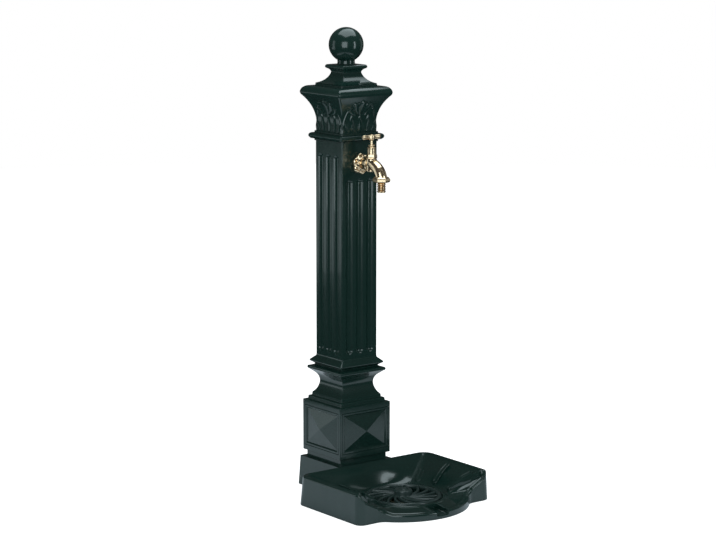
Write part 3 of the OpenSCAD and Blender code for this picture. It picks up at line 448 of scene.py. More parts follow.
WHITE = (1, 1, 1, 1)
LAMP_COLOUR = (0.82, 0.96, 1.0)
ROOM_SEEN, ROOM_FILL, ROOM_IN_GLOSS = 1.0, 0.46, 0.05
FLOOR_R, FLOOR_Z, FLOOR_GLOW = 6, -0.0004, 0.80
PATCH_FULL, PATCH_END = 0.79, 0.87
MIRROR_WAY, CROSS_WAY = (0.602, -0.798, 0), (0.798, 0.602, 0)


def white_room():
    """White to the camera, nearly dark in gloss and a soft fill for everything else."""
    world = bpy.data.worlds.new("room")
    bpy.context.scene.world = world
    room = Finish("room", world)

    def even(strength):
        return room.node("ShaderNodeBackground", None, {"Color": WHITE, "Strength": strength})

    unseen = room.mixed(room.ray("Is Glossy Ray"), even(ROOM_FILL), even(ROOM_IN_GLOSS))
    direct = room.ray("Is Camera Ray") + room.ray("Is Transmission Ray")
    room.node("ShaderNodeOutputWorld", None, {"Surface": room.mixed(direct, unseen, even(ROOM_SEEN))})


def pale_floor():
    """A white sheet on the ground that keeps the shadow. In gloss it shows as a patch round the object.

    The patch lies along the way in which the front faces mirror the camera, with its own stretch each side.
    """
    leave()
    bpy.ops.mesh.primitive_circle_add(vertices=96, radius=FLOOR_R, fill_type="NGON",
                                      location=(0, 0, FLOOR_Z))
    floor = started("floor")
    sheet = Finish("floor_sheet")
    where = sheet.place()

    def off(way, ahead, behind):
        """How far a place lies along a way, stretched ahead of the column and behind it."""
        reach = sheet.node("ShaderNodeVectorMath", {"operation": "DOT_PRODUCT"}, {0: where, 1: way},
                           output="Value")
        return sheet.maths("MAXIMUM", reach * ahead, reach * -behind)

    along = off(MIRROR_WAY, 1, 0.88)
    across = off(CROSS_WAY, 1.41, 0.9)
    reach = sheet.maths("POWER", along * along + across * across, 0.5)
    near = sheet.node("ShaderNodeMapRange", {"interpolation_type": "SMOOTHSTEP"},
                      {"Value": reach, "From Min": PATCH_FULL, "From Max": PATCH_END,
                       "To Min": 1.0, "To Max": 0.0})
    tone = sheet.blend(sheet.spots(5, 3), (0.82, 0.82, 0.82), (0.85, 0.85, 0.85))
    cloth = sheet.node("ShaderNodeBsdfDiffuse", None, {"Color": tone})
    glow = sheet.node("ShaderNodeEmission", None, {"Color": WHITE, "Strength": FLOOR_GLOW})
    shown = sheet.node("ShaderNodeAddShader", None, {0: cloth, 1: glow})
    patch = sheet.blend(near, (0.03, 0.035, 0.04), (0.80, 0.88, 0.95))
    mirrored = sheet.node("ShaderNodeBsdfDiffuse", None, {"Color": patch})
    unseen = sheet.mixed(sheet.ray("Is Glossy Ray"), cloth, mirrored)
    surface = sheet.mixed(sheet.ray("Is Camera Ray"), unseen, shown)
    sheet.node("ShaderNodeOutputMaterial", None, {"Surface": surface})
    floor.data.materials.append(sheet.owner)


def soft_box(name, place, aim, width, height, watts):
    """A lamp that shows in gloss, but not to the camera."""
    lamp = bpy.data.lights.new(name, "AREA")
    lamp.shape = "RECTANGLE"
    lamp.size, lamp.size_y = width, height
    lamp.energy = watts
    lamp.color = LAMP_COLOUR
    box = added(name, lamp)
    box.location = place
    box.rotation_euler = (Vector(aim) - Vector(place)).to_track_quat("-Z", "Y").to_euler()
    box.visible_camera = False


def around(azimuth, reach, z):
    """A place round the column, the azimuth in degrees to the right of the front."""
    a = math.radians(azimuth)
    return (reach * math.sin(a), -reach * math.cos(a), z)


bpy.context.scene.view_settings.view_transform = "Standard"
white_room()
pale_floor()
soft_box("over_light", (0.15, -0.02, 1.75), (0.15, -0.02, 1.0), 1.10, 0.86, 8.2)
soft_box("front_light", around(-47, 2.6, 1.15), (0, 0, 1.00), 1.6, 1.76, 25.3)
soft_box("left_panel", around(-127, 1.98, 0.92), (0, 0, 0.92), 0.66, 1.49, 2.8)
soft_box("low_panel", around(-142.8, 2.9, 0.19), (0, 0, 0.19), 0.9, 0.36, 0.93)
soft_box("right_panel", around(83, 2.0, 1.0), (0, 0, 1.0), 0.5, 1.4, 0.9)
soft_box("right_strip", around(22, 1.9, 1.02), (0, 0, 1.02), 0.28, 1.3, 5.5)


# Column

FOOT_TOP, COLLAR_Z = top_of("foot_casting"), top_of("shaft_casting")
FOOT_WIDENS_Z, FOOT_WIDENING = 50, 1.022
BLOCK, BLOCK_Z, BLOCK_TOP, BLOCK_RAIL = 72.3, 84.5, 204.5, 7.25
PANEL_STEPS = ((4.4, 0), (0.9, -1.1), (0.9, 1.1), (3.6, 0), (1.0, -0.7), (1.95, -2.1))
PYRAMID_H = 8.2
LIP_JOINT = 288.6


def foot():
    """The tapered foot, its edges rounded and its top brought out to the photograph's outline."""
    leave()
    piece = added("foot_casting_cast", nodes["foot_casting"].data.copy())
    edit(piece)
    bpy.ops.mesh.remove_doubles(threshold=MM * 0.02)
    bpy.ops.mesh.dissolve_limited(angle_limit=math.radians(1.5))
    rounded(piece, 1.6, 3, 40)
    tidy(piece, 30)
    edit(piece)
    pick(piece, "verts", lambda v: v.co.z > MM * FOOT_WIDENS_Z)
    bpy.ops.transform.resize(value=(FOOT_WIDENING, FOOT_WIDENING, 1), center_override=(0, 0, 0))
    fitted(piece, "standpipe", "foot_casting", "paint")


def side_panels(piece):
    """Grooved border, sunk field and pyramid on each face of the block."""
    edit(piece)
    pick(piece, "faces", lambda f: abs(f.normal.z) < 0.1 and f.calc_area() > 0.01)
    for width, depth in PANEL_STEPS:
        bpy.ops.mesh.inset(thickness=MM * width, depth=MM * depth, use_individual=True)
    bpy.ops.mesh.poke(offset=MM * PYRAMID_H)
    bpy.ops.mesh.mark_sharp()
    leave()


def pedestal():
    """Plinth, block with pyramid panels, stepped ovolos, hollow and lower lip."""
    plinth = [(65.6, FOOT_TOP), (65.6, BLOCK_Z), (BLOCK, BLOCK_Z), (BLOCK, BLOCK_Z + BLOCK_RAIL)]
    block = [(BLOCK, BLOCK_TOP - BLOCK_RAIL), (BLOCK, BLOCK_TOP)]
    ovolos = [(64, 205.2), (63.2, 213.4), (57.4, 214.2), (56.8, 221)]
    hollow = flowing([(56.8, 221), (50.5, 228.6), (46, 238.5), (44.2, 249), (45.6, 258), (50.5, 266.6),
                      (61.5, 276)])
    lip = [(64.6, 278.2), (65.2, 281), (64.2, 284), (56, 286.4), (53, 287.6), (52.4, LIP_JOINT)]
    side = eased(plinth + block + ovolos, 1.5) + hollow[1:] + lip
    piece = square_moulding("panelled_pedestal", side, 1.6)
    side_panels(piece)
    tidy(piece, 32)
    fitted(piece, "standpipe", "pedestal_casting", "paint")


SHAFT = 50
FLUTES, FLUTE_PITCH, FLUTE_WIDTH, FLUTE_DEPTH = 3, 29, 20, 5.5
FLUTE_FOOT, FLUTE_TOP, FRONT_FLUTE_TOP = 320.8, 781.8, 726.8


def flute_cutter(top):
    """A long ball-nosed bar that hollows one flute out of the front face."""
    radius = (FLUTE_WIDTH ** 2 / 4 + FLUTE_DEPTH ** 2) / (2 * FLUTE_DEPTH)
    nose = FLUTE_WIDTH / 2
    turns = [math.radians(9 * i) for i in range(1, 10)]
    rise = [(radius * math.cos(a), nose * math.sin(a)) for a in turns]
    low, high = FLUTE_FOOT + nose, top - nose
    side = [(r, low - z) for r, z in reversed(rise)] + [(radius, low), (radius, high)]
    bar = round_turning("flute_cutter", side + [(r, high + z) for r, z in rise], 40)
    return moved(tidy(bar), (0, -SHAFT - radius + FLUTE_DEPTH, 0))


def shaft():
    """Square shaft with three flutes on each face, standing on the upper lip."""
    lip = [(52.4, LIP_JOINT), (54, 291), (58.5, 293.6), (61.4, 295.6), (61.9, 297.4), (60.6, 299.2)]
    foot_slope = [(56.4, 303.2), (52.6, 306.6), (51.2, 307.6), (50.4, 309.6), (SHAFT, 313)]
    piece = square_moulding("fluted_shaft", lip + foot_slope + [(SHAFT, COLLAR_Z)], 2.6)
    tidy(piece)
    cutters = copies_of(flute_cutter(FRONT_FLUTE_TOP), FLUTES)
    cutters += copies_of(flute_cutter(FLUTE_TOP), 3 * FLUTES)
    for k, cutter in enumerate(cutters):
        face, place = divmod(k, FLUTES)
        moved(cutter, (FLUTE_PITCH * (place - (FLUTES - 1) / 2), 0, 0))
        turned(cutter, "Z", 90 * face)
    cut(piece, joined("flute_cutters", cutters))
    rounded(piece, 0.9, 2, 38)
    tidy(piece, 34)
    fitted(piece, "standpipe", "shaft_casting", "paint")


BELL_FOOT, BELL_BEND, BELL_R, BELL_AXIS = 830.8, 847.2, 95.5, 144.5
BELL_NECK = BELL_AXIS - BELL_R
LEAF_RISE, LEAF_SUNK = 84, -0.45
ARCH_RISE, ARCH_TOP, ARCH_WIDTH, ARCH_HEIGHT = 83, 0.9, 2.6, 2.8


def lancet(along, off, wide):
    """Section of a pointed leaf with straight flanks, broad over its foot."""
    breadth = wide * math.sin(math.pi * (0.12 + 0.88 * along) ** 0.85) ** 0.75
    return max(1 - off / max(breadth, 0.1), 0) ** 0.7


def lobe(along, off, wide):
    """Section of a palmette's lobe with round flanks, broad near its tip."""
    breadth = wide * math.sin(math.pi * along ** 1.6) ** 0.5
    return math.sqrt(max(1 - (off / max(breadth, 0.1)) ** 2, 0))


# Section, foot x and y, tip x and y, half width and height of the leaves on half a face
LEAVES = [
    (lancet, 0, 0, 0, 40, 9, 3.2),
    (lancet, 20, 0, 24, 40, 7.5, 3.6),
    (lancet, 34, 0, 42, 22, 5, 2.6),
    (lobe, 0, 36, 0, 77, 8.5, 5),
    (lobe, 6, 40, 22, 71, 7.5, 4.4),
    (lobe, 12, 38, 35, 55, 6.5, 3.6),
]


def leaf_height(x, y, half):
    """How far the leaf work stands out of the bell, x across the face and y up it.

    It is an arched ridge with pointed leaves and a palmette under it.
    """
    t = max(y / ARCH_RISE, 0)
    arch_x = 0.98 * half * max(1 - (t / ARCH_TOP) ** 1.7, 0) ** 0.62
    ridge = ARCH_HEIGHT * max(1 - abs(abs(x) - arch_x) / ARCH_WIDTH, 0) ** 0.6
    high = ridge if t < ARCH_TOP else 0
    for section, x0, y0, x1, y1, wide, tall in LEAVES:
        length = math.hypot(x1 - x0, y1 - y0)
        for side in (-1, 1):
            along = ((side * x - x0) * (x1 - x0) + (y - y0) * (y1 - y0)) / length ** 2
            if 0 < along < 1:
                off = abs((side * x - x0) * (y1 - y0) - (y - y0) * (x1 - x0)) / length
                high = max(high, tall * (0.55 + 0.45 * along) * section(along, off, wide))
    return high


def leaf_work():
    """The leaves of one face as a thin sheet on the bell, then all four."""
    leave()
    bpy.ops.mesh.primitive_grid_add(x_subdivisions=84, y_subdivisions=72, size=1)
    sheet = started("leaf_work")
    lifted = []
    for corner in sheet.data.vertices:
        u, y = 2 * corner.co.x, (corner.co.y + 0.5) * LEAF_RISE
        turn = max(y - (BELL_BEND - BELL_FOOT), 0) / BELL_R
        half = BELL_AXIS - BELL_R * math.cos(turn)
        z = BELL_FOOT + min(y, BELL_BEND - BELL_FOOT) + BELL_R * math.sin(turn)
        x = u * (half - 2.2)
        high = leaf_height(x, y, half) + LEAF_SUNK
        lifted.append(high)
        corner.co = (MM * x, MM * -(half + high * math.cos(turn)), MM * (z - high * math.sin(turn)))
    edit(sheet)
    pick(sheet, "faces", lambda f: all(lifted[v.index] < LEAF_SUNK + 0.02 for v in f.verts))
    bpy.ops.mesh.delete(type="FACE")
    edit(sheet)
    bpy.ops.mesh.normals_make_consistent(inside=False)
    leave()
    toward = sum(f.normal.y for f in sheet.data.polygons)
    finish_with(sheet, "SOLIDIFY", thickness=MM * 2, offset=-1 if toward < 0 else 1)
    return ring_of(tidy(sheet, 60), 4)


def capital():
    """Collar with a bead, flared bell and rounded slab, with leaf work on each face."""
    collar = eased([(52.5, COLLAR_Z), (52.5, 812.8), (60, 812.8)], 0.8)
    bead = arc(56.4, 819.3, 6.4, -75, 75, 10)
    neck = eased([(60, 825.8), (52.5, 825.8), (52.5, 830), (BELL_NECK, BELL_FOOT)], 0.9)[1:-1]
    bell = [(BELL_NECK, BELL_FOOT)] + arc(BELL_AXIS, BELL_BEND, BELL_R, 180, 136.8, 12)
    slab = [(75.6, 914.2)] + arc(61.6, 917.6, 15, 0, 84, 10) + [(50.5, 932.8)]
    piece = square_moulding("leafed_capital", collar + bead + neck + bell + slab, 3.2)
    piece = joined("leafed_capital", [tidy(piece, 32), *leaf_work()])
    fitted(piece, "standpipe", "capital_casting", "paint")


def cap():
    """Concave roof with a small square moulding under the ball."""
    edge = eased([(50.5, 932.6), (50.5, 937), (49.6, 937.1)], 1.0)
    roof = arc(57.5, 972, 34, 258, 195, 12)
    cove = [(24.8, 964.4), (26, 967.6), (29, 970.8), (32.4, 972.4)]
    nosing = [(34.2, 974.2), (34.5, 976.8), (33.5, 979.4), (31.4, 980.8)]
    piece = square_moulding("roof_cap", edge + roof + flowing(cove + nosing) + [(19, 981)], 1.8)
    tidy(piece, 32)
    fitted(piece, "standpipe", "cap_casting", "paint")


def ball():
    """Ball on a short flared neck."""
    neck = flowing([(21.4, 980.4), (20.4, 982.6), (19.8, 986), (19.8, 989.6)])
    globe = arc(0, 1025.26, 39.6, -59.6, 89.2, 40)
    piece = round_turning("ball", neck + globe, 72)
    tidy(piece, 40)
    fitted(piece, "standpipe", "ball_finial", "paint")


foot()
pedestal()
shaft()
capital()
cap()
ball()


# Basin

DRAIN_Y = middle_of("drain_grate", Y)
RIM, APRON, KERB_FOOT = 68.2, 17, 20
LOBE_Y, APRON_Y, APRON_HALF, APRON_SLOPE = -195.5, -270, 110, 73
HOLE_R, KERB_R = 23.2, 99
# Width in from the wall and height over the rim's edge
RIM_BEAD = [(0.3, -3), (1, -1.5), (2.2, -0.7), (3.8, -0.5), (7.4, -0.5), (8.4, -0.1), (9.6, 0.9),
            (11.2, 1.5), (12.8, 1), (14.2, -0.6)]
# Radius and height
KERB = [(98.2, 20.6), (97.4, 21.8), (96, 22.8), (94, 23.2), (91.6, 23), (89.8, 22), (88.6, 20.4), (88, 18)]
SEAT = [(80, 18), (80, 10), (HOLE_R, 10), (HOLE_R, 3)]
# Lean, start, length and height of the ribs on one side
RIBS = [(35, 112, 44, 3.6), (11, 107, 54, 8), (-20, 105, 60, 9)]
NOTCH, NOTCH_PLACE = (34, 60, 30), (0, -340, 22)


def straight(a, b, steps):
    """Points from a towards b, without b."""
    return [(a[0] + (b[0] - a[0]) * i / steps, a[1] + (b[1] - a[1]) * i / steps) for i in range(steps)]


def basin_plan(half, back, front, lobe_r, back_r, front_r, fillet):
    """The basin's outline from the back's middle, round the right side and the lobe and back again."""
    dip = front - fillet - LOBE_Y
    fillet_x = math.sqrt((lobe_r + fillet) ** 2 - dip ** 2)
    lean = math.degrees(math.atan2(-dip, fillet_x))
    right = straight((0, back), (half - back_r, back), 12)
    right += arc(half - back_r, back - back_r, back_r, 90, 0, 14)[:-1]
    right += straight((half, back - back_r), (half, front + front_r), 14)
    right += arc(half - front_r, front + front_r, front_r, 0, -90, 14)[:-1]
    right += straight((half - front_r, front), (fillet_x, front), 3)
    right += arc(fillet_x, front - fillet, fillet, 90, 180 - lean, 12)[:-1]
    right += arc(0, LOBE_Y, lobe_r, -lean, -90, 36)
    return [Vector(p) for p in right + [(-x, y) for x, y in reversed(right[1:-1])]]


def outward_of(line):
    """Outward directions at the points of a closed outline."""
    ahead = line[1:] + line[:1]
    behind = line[-1:] + line[:-1]
    return [Vector((b.y - a.y, a.x - b.x)).normalized() * -1 for a, b in zip(behind, ahead)]


def rim_height(spot):
    """The rim is level at the back and sides and falls in a slope to the front apron."""
    if spot.y > APRON_Y:
        return RIM
    slope = min(max((abs(spot.x) - APRON_HALF) / APRON_SLOPE, 0), 1)
    return APRON + (RIM - APRON) * (0.8 * slope + 0.2 * slope ** 6)


def basin_shell():
    """One skin from the drain hole under the basin, up the drafted wall, over the rim and down the dish."""
    foot_line = basin_plan(187.5, -62, -297, 161, 21, 18, 27)
    rim_line = basin_plan(185.4, -64.2, -293.5, 157, 29, 17, 27)
    count = len(foot_line)
    outward = outward_of(foot_line)
    centre = Vector((0, DRAIN_Y))
    heights = [rim_height(s) for s in foot_line]
    for _ in range(3):
        heights = [(heights[k - 1] + 2 * heights[k] + heights[(k + 1) % count]) / 4 for k in range(count)]
    spokes = [(s - centre).normalized() for s in rim_line]

    def ring(radius, z):
        """A level circle round the drain."""
        return [(*(centre + radius * d), z) for d in spokes]

    def wall(width, level):
        """The drafted wall at a height, moved inwards by a width."""
        return [(*(f.lerp(r, level(h) / RIM) - o * width), level(h))
                for f, r, o, h in zip(foot_line, rim_line, outward, heights)]

    def dish(part):
        """A line part of the way down the dish: gentle under the high rim, then steep to the drain.

        The shorter the run from the rim to the kerb, the more the dish bends.
        """
        steep = min(max((part - 0.45) / 0.5, 0), 1)
        extra = 0.5 * steep * steep * (3 - 2 * steep) - 0.5 * part
        line = []
        rim, kerb = wall(15.2, lambda h: h - 2.2), ring(KERB_R, KERB_FOOT)
        for (x, y, z), (to_x, to_y, to_z), h in zip(rim, kerb, heights):
            run = math.hypot(to_x - x, to_y - y)
            bend = min(max((105 - run) / 60, 0), 1) * max(h - APRON, 0) / (RIM - APRON)
            drop = part + extra * bend
            line.append((x + (to_x - x) * part, y + (to_y - y) * part, z + (to_z - z) * drop))
        return line

    # Underside, hollow of the wall, foot, wall, rim, dish, kerb and seat
    rings = [ring(HOLE_R, 3), ring(92, 3), ring(96, 4)]
    rings += [wall(8, lambda h: h * 0.9 - 11), wall(6.5, lambda h: h * 0.9 - 12.5)]
    rings += [wall(6, lambda h: 0), wall(0.8, lambda h: 0), wall(0, lambda h: 1)]
    rings += [wall(0, lambda h: (h - 5) * step / 4) for step in range(1, 5)]
    rings += [wall(width, lambda h: h + rise) for width, rise in RIM_BEAD]
    rings += [dish(k / 18) for k in range(19)]
    rings += [ring(radius, z) for radius, z in KERB + SEAT]

    leave()
    bpy.ops.mesh.primitive_grid_add(x_subdivisions=count, y_subdivisions=len(rings) - 1, size=1)
    piece = started("catch_basin")
    for row, line in enumerate(rings):
        for column in range(count + 1):
            spot = Vector(line[column % count]) * MM
            piece.data.vertices[row * (count + 1) + column].co = spot
    return tidy(piece, 38)


def bar(name, length, width, height, corner, edge, trough=0):
    """A flat bar along X from the origin with rounded ends and top edges, if asked with a sunk middle."""
    leave()
    bpy.ops.mesh.primitive_plane_add(size=1, location=(0.5, 0, 0))
    piece = started(name)
    edit(piece)
    bpy.ops.transform.resize(value=(MM * length, MM * width, 1), center_override=(0, 0, 0))
    bpy.ops.mesh.bevel(offset=MM * corner, segments=6, affect="VERTICES")
    bpy.ops.mesh.extrude_region_move(TRANSFORM_OT_translate={"value": (0, 0, MM * height)})
    if trough:
        bpy.ops.mesh.inset(thickness=MM * 2 * edge)
        bpy.ops.mesh.inset(thickness=MM * edge, depth=MM * -trough * 0.7)
    pick(piece, "edges", lambda e: all(v.co.z > MM * height * 0.9 for v in e.verts))
    bpy.ops.mesh.bevel(offset=MM * edge * (0.8 if trough else 1), segments=4)
    leave()
    return tidy(piece)


def bisected(piece, length, parts):
    """Cuts a bar along X across into equal lengths so that it can bend."""
    edit(piece)
    for k in range(1, parts):
        bpy.ops.mesh.select_all(action="SELECT")
        bpy.ops.mesh.bisect(plane_co=(MM * length * k / parts, 0, 0), plane_no=(1, 0, 0))
    leave()
    return piece


def draped(piece, ground):
    """Lets a flat piece follow the surface below it."""
    for corner in piece.data.vertices:
        _, spot, _, _ = ground.ray_cast((corner.co.x, corner.co.y, 1), (0, 0, -1))
        corner.co.z += spot.z
    return tidy(piece, 40)


def dish_ribs(ground):
    """Three raised ribs on each side of the dish, lying on its slope."""
    ribs = []
    for side in (-1, 1):
        for lean, start, length, height in RIBS:
            rib = bar("rib", length, 14, height, 6, 1.6, 3)
            moved(bisected(rib, length, 12), (start, 0, -1.2))
            moved(turned(rib, "Z", lean if side > 0 else 180 - lean), (0, DRAIN_Y, 0))
            ribs.append(draped(rib, ground))
    return ribs


def overflow_lips():
    """Raised kerbs along both sides of the overflow notch."""
    lips = copies_of(turned(turned(bar("lip", 40, 7, 12, 2.4, 2.6), "Y", 9), "Z", -90), 2)
    return [moved(lip, (side * 20.5, -309, 12)) for side, lip in zip((-1, 1), lips)]


def notch_cutter():
    """A block with rounded long edges that cuts the overflow notch out of the apron."""
    centre = tuple(MM * c for c in NOTCH_PLACE)
    leave()
    bpy.ops.mesh.primitive_cube_add(size=1, location=centre)
    cutter = started("notch_cutter")
    edit(cutter)
    bpy.ops.transform.resize(value=tuple(MM * c for c in NOTCH), center_override=centre)
    pick(cutter, "edges", lambda e: abs(e.verts[0].co.y - e.verts[1].co.y) > MM * 50)
    bpy.ops.mesh.bevel(offset=MM * 3, segments=4)
    return cutter


def basin():
    """Catch basin with its ribs, its overflow notch and the lips beside it."""
    piece = basin_shell()
    ribs = dish_ribs(piece)
    cut(piece, notch_cutter())
    tidy(piece, 38)
    piece = joined("catch_basin", [piece, *ribs, *overflow_lips()])
    fitted(piece, "standpipe", "basin_casting", "paint")


GRATE_Z, GRATE_BARS, BAR_START, BAR_LENGTH = 18, 16, 18, 62
SWIRL, SWIRL_START, SWIRL_R = 0.62, 101.25, 50


def grate():
    """Loose round grate: a half-round ring, swirling bars and a stepped boss."""
    ring_side = [(77.4, GRATE_Z), (86.8, GRATE_Z)] + arc(82, 21.4, 4.8, 0, 180, 14) + [(77.4, GRATE_Z)]
    ring = round_turning("swirl_grate", ring_side, 96)
    pick(ring, "faces", lambda f: len(f.verts) > 4)
    bpy.ops.mesh.delete(type="FACE")
    tidy(ring, 40)
    boss_side = [(23, GRATE_Z), (23, 23.4), (21, 25), (20.4, 34.6), (18.6, 36.6), (12, 36.8), (11, 35.2),
                 (8, 35.2), (7.2, 38), (1, 38.4)]
    boss = tidy(round_turning("boss", eased(boss_side, 1.4), 64), 40)
    bars = copies_of(bisected(bar("spoke", BAR_LENGTH, 7.4, 7, 0.5, 3), BAR_LENGTH, 14), GRATE_BARS)
    for k, spoke in enumerate(bars):
        start = math.radians(SWIRL_START + 360 / GRATE_BARS * k)
        for corner in spoke.data.vertices:
            reach = corner.co.x + MM * BAR_START
            turn = start + SWIRL * math.log(reach / (MM * SWIRL_R)) + corner.co.y / reach
            corner.co = (reach * math.cos(turn), reach * math.sin(turn), corner.co.z)
        tidy(moved(spoke, (0, 0, GRATE_Z)), 40)
    piece = moved(joined("swirl_grate", [ring, boss, *bars]), (0, DRAIN_Y, 0))
    # The whole grate takes the lighter enamel, a painted sheen that stands in for the light on its ring and
    # bars.
    fitted(piece, "drain_grate", "drain_grate", "paint", "paint_lightened_as_sheen")


basin()
grate()


# Tap

TAP_Z = middle_of("rosette", Z)
STEM_Y, SPOUT_Y = middle_of("bonnet", Y), middle_of("hose_tail", Y)


def swept(name, stations, count=40):
    """A pipe through stations of (y, z, lean, radius), the lean in degrees below level towards the front."""
    y, z, lean, radius = stations[0]
    leave()
    bpy.ops.mesh.primitive_circle_add(vertices=count, radius=MM * radius, fill_type="NGON")
    piece = moved(turned(started(name), "X", 90 + lean), (0, y, z))
    edit(piece)
    for (y0, z0, lean0, r0), (y1, z1, lean1, r1) in zip(stations, stations[1:]):
        step = (0, MM * (y1 - y0), MM * (z1 - z0))
        centre = (0, MM * y1, MM * z1)
        bpy.ops.mesh.extrude_region_move(TRANSFORM_OT_translate={"value": step})
        bpy.ops.transform.rotate(value=-math.radians(lean1 - lean0), orient_axis="X", center_override=centre)
        bpy.ops.transform.resize(value=(r1 / r0,) * 3, center_override=centre)
    leave()
    return tidy(piece)


def facing_front(piece, z):
    """Lays a turning down so that its axis points out of the shaft's front."""
    return moved(turned(piece, "X", 90), (0, 0, z))


def fused(piece, voxel, passes):
    """Fuses overlapping forms into one casting with softened joins."""
    finish_with(piece, "REMESH", mode="VOXEL", voxel_size=MM * voxel)
    finish_with(piece, "SMOOTH", factor=0.5, iterations=passes)
    return tidy(piece, 50)


def bored(piece, radius, low, high):
    """Bores a round hole down a piece's axis."""
    return cut(piece, tidy(round_turning("drill", [(radius, low), (radius, high)], 48)))


def egg(name, place, size):
    """An ellipsoid of three half sizes, at a place in millimetres."""
    leave()
    bpy.ops.mesh.primitive_uv_sphere_add(segments=24, ring_count=14, radius=1)
    piece = started(name)
    edit(piece)
    bpy.ops.transform.resize(value=tuple(MM * c for c in size), center_override=(0, 0, 0))
    return moved(piece, place)


def rosette():
    """Wall flange of six cupped petals round a coned hub."""
    petals, first_turn = 6, 10
    hub_side = [(20.5, 50.2), (21, 52), (21, 57), (17.4, 60.6), (15.6, 63), (14, 65.6), (12, 66.4)]
    hub = tidy(round_turning("hub", eased(hub_side, 0.8), 72))
    leaves = ring_of(egg("petal", (0, 15.4, 57), (9.8, 9.4, 6)), petals, first_turn)
    piece = fused(joined("wall_rosette", [hub, *leaves]), 0.5, 1)
    cups = ring_of(egg("cup", (0, 18.4, 65), (4.6, 4.8, 4.2)), petals, first_turn)
    cut(piece, joined("cups", cups))
    facing_front(fused(piece, 0.5, 3), TAP_Z)
    fitted(piece, "standpipe", "rosette", "brass")


def tap_body():
    """Inlet barrel with its round flange, valve chamber and falling spout in one bored casting."""
    inlet_side = [(9.6, 62), (10.2, 66), (10.4, 76.6), (14.2, 77.2), (15.2, 78.4), (15.2, 86.6),
                  (14.2, 88.2), (11.6, 88.8), (11.6, 96)]
    inlet = facing_front(tidy(round_turning("tap_casting", inlet_side, 48)), TAP_Z + 2)
    chamber_side = [(7, 746.6), (12.4, 746.8), (13.2, 747.8), (13.2, 750.6), (12.4, 751.8), (12.4, 773),
                    (11.4, 776.4), (8, 776.6)]
    chamber = moved(tidy(round_turning("chamber", eased(chamber_side, 1), 48)), (0, STEM_Y, 0))
    spout = swept("spout", [(-92, 764, 12, 12.4), (-100, 763, 18, 12.9), (-108, 760, 25, 13.1),
                            (-115.5, 756, 32, 13.2), (-122, 751, 44, 13.2), (-127, 745, 60, 13.2),
                            (-130, 738.6, 78, 13.1), (SPOUT_Y, 733, 90, 13), (SPOUT_Y, 730.4, 90, 13)])
    piece = fused(joined("tap_casting", [inlet, chamber, spout]), 0.5, 3)
    moved(piece, (0, -STEM_Y, 0))
    moved(bored(bored(piece, 9.6, 759.6, 790), 5.6, 750, 762), (0, STEM_Y, 0))
    fitted(piece, "standpipe", "tap_body", "brass")


def bonnet():
    """Bored hexagon with a round barrel on it."""
    hexagon = round_turning("hex_bonnet", [(11.4, 776), (12.7, 777), (12.7, 784.2), (11.6, 785.2)], 6)
    barrel_side = [(10.4, 785), (10.2, 786.4), (9.6, 787.2), (9.4, 797.6), (9.8, 798.6), (9.8, 800.4),
                   (8.8, 801.6), (5, 802)]
    barrel = tidy(round_turning("bonnet_barrel", eased(barrel_side, 0.6), 40))
    bored(hexagon, 8.3, 770, 790)
    bored(bored(barrel, 8.3, 780, 799), 4.6, 798, 804)
    piece = joined("hex_bonnet", [turned(tidy(hexagon, 20), "Z", -12), tidy(barrel)])
    moved(piece, (0, STEM_Y, 0))
    fitted(piece, "standpipe", "bonnet", "brass", "satin_brass")


def gland():
    """Round gland nut on the bonnet."""
    side = [(4.4, 801.4), (5.4, 801.6), (5.4, 803.6), (7.6, 804.2), (8, 805), (8, 806.2), (7.2, 807),
            (4.2, 807.2)]
    piece = moved(tidy(round_turning("gland", eased(side, 0.5), 40)), (0, STEM_Y, 0))
    fitted(piece, "standpipe", "gland_nut", "brass", "satin_brass")


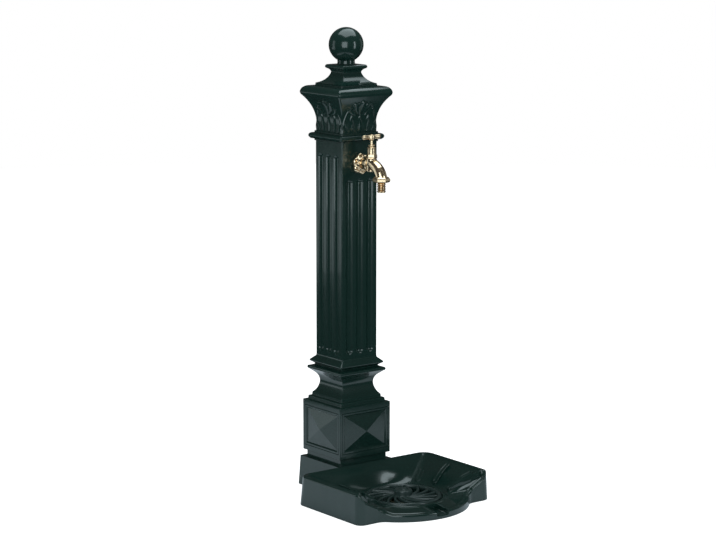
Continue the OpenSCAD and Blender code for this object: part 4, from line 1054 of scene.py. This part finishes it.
def tee_handle():
    """Hub with two flattened arms."""
    hub_side = [(4.4, 815.4), (4.8, 817.6), (7, 818.8), (7.6, 820.4), (7.6, 827.8), (6.8, 829), (3.8, 829.4)]
    hub = tidy(round_turning("handle_hub", eased(hub_side, 0.8), 40))
    arm_side = [(4.7, 3), (4.7, 9), (4.9, 13), (5.3, 17), (5.5, 21), (5, 24), (2.6, 25.5)]
    arm = tidy(round_turning("arm", eased(arm_side, 1.2), 32))
    edit(arm)
    bpy.ops.transform.resize(value=(1, 0.84, 1), center_override=(0, 0, 0))
    moved(turned(arm, "Y", 90), (0, 0, 824.2))
    piece = fused(joined("tee_handle", [hub, *ring_of(arm, 2)]), 0.4, 3)
    moved(piece, (0, STEM_Y, 0))
    fitted(piece, "headwork", "handle", "brass", "satin_brass")


def flush_screw():
    """Screw that holds the handle, nearly flush with its hub."""
    side = eased([(2.6, 826), (3.6, 828.6), (3.6, 829.8), (3, 830.3), (0.6, 830.4)], 0.4)
    piece = moved(tidy(round_turning("flush_screw", side, 32)), (0, STEM_Y, 0))
    fitted(piece, "headwork", "handle_screw", "brass", "satin_brass")


def union_hex():
    """Union nut that turns on the hose tail."""
    side = [(12.6, 725.4), (17.4, 725.8), (20.2, 727.6), (20.6, 730), (20.4, 732.6), (18.6, 735.4),
            (15.4, 738)]
    piece = tidy(round_turning("union_hex", side, 6), 40)
    rounded(piece, 1.6, 3, 45)
    bored(bored(piece, 13.6, 729.6, 742), 10.8, 720, 735)
    moved(turned(tidy(piece, 40), "Z", -7.2), (0, SPOUT_Y, 0))
    fitted(piece, "union_nut", "union_nut", "brass", "satin_brass")


def barbed_tail():
    """Hose tail with a row of barbs."""
    bore, root, barb, pitch = 6, 8.2, 10.4, 3.8
    side = [(bore, 702.4), (8.4, 702.4), (barb, 705.4)]
    for k in range(5):
        side += [(root, 706.2 + pitch * k), (root, 707 + pitch * k), (barb, 709.2 + pitch * k)]
    side += [(root, 725.2), (root, 725.6), (bore, 725.6), (bore, 702.4)]
    piece = round_turning("barbed_tail", side, 48)
    pick(piece, "faces", lambda f: len(f.verts) > 4)
    bpy.ops.mesh.delete(type="FACE")
    moved(tidy(piece, 25), (0, SPOUT_Y, 0))
    fitted(piece, "hose_tail", "hose_tail", "brass")


rosette()
tap_body()
bonnet()
gland()
tee_handle()
flush_screw()
union_hex()
barbed_tail()
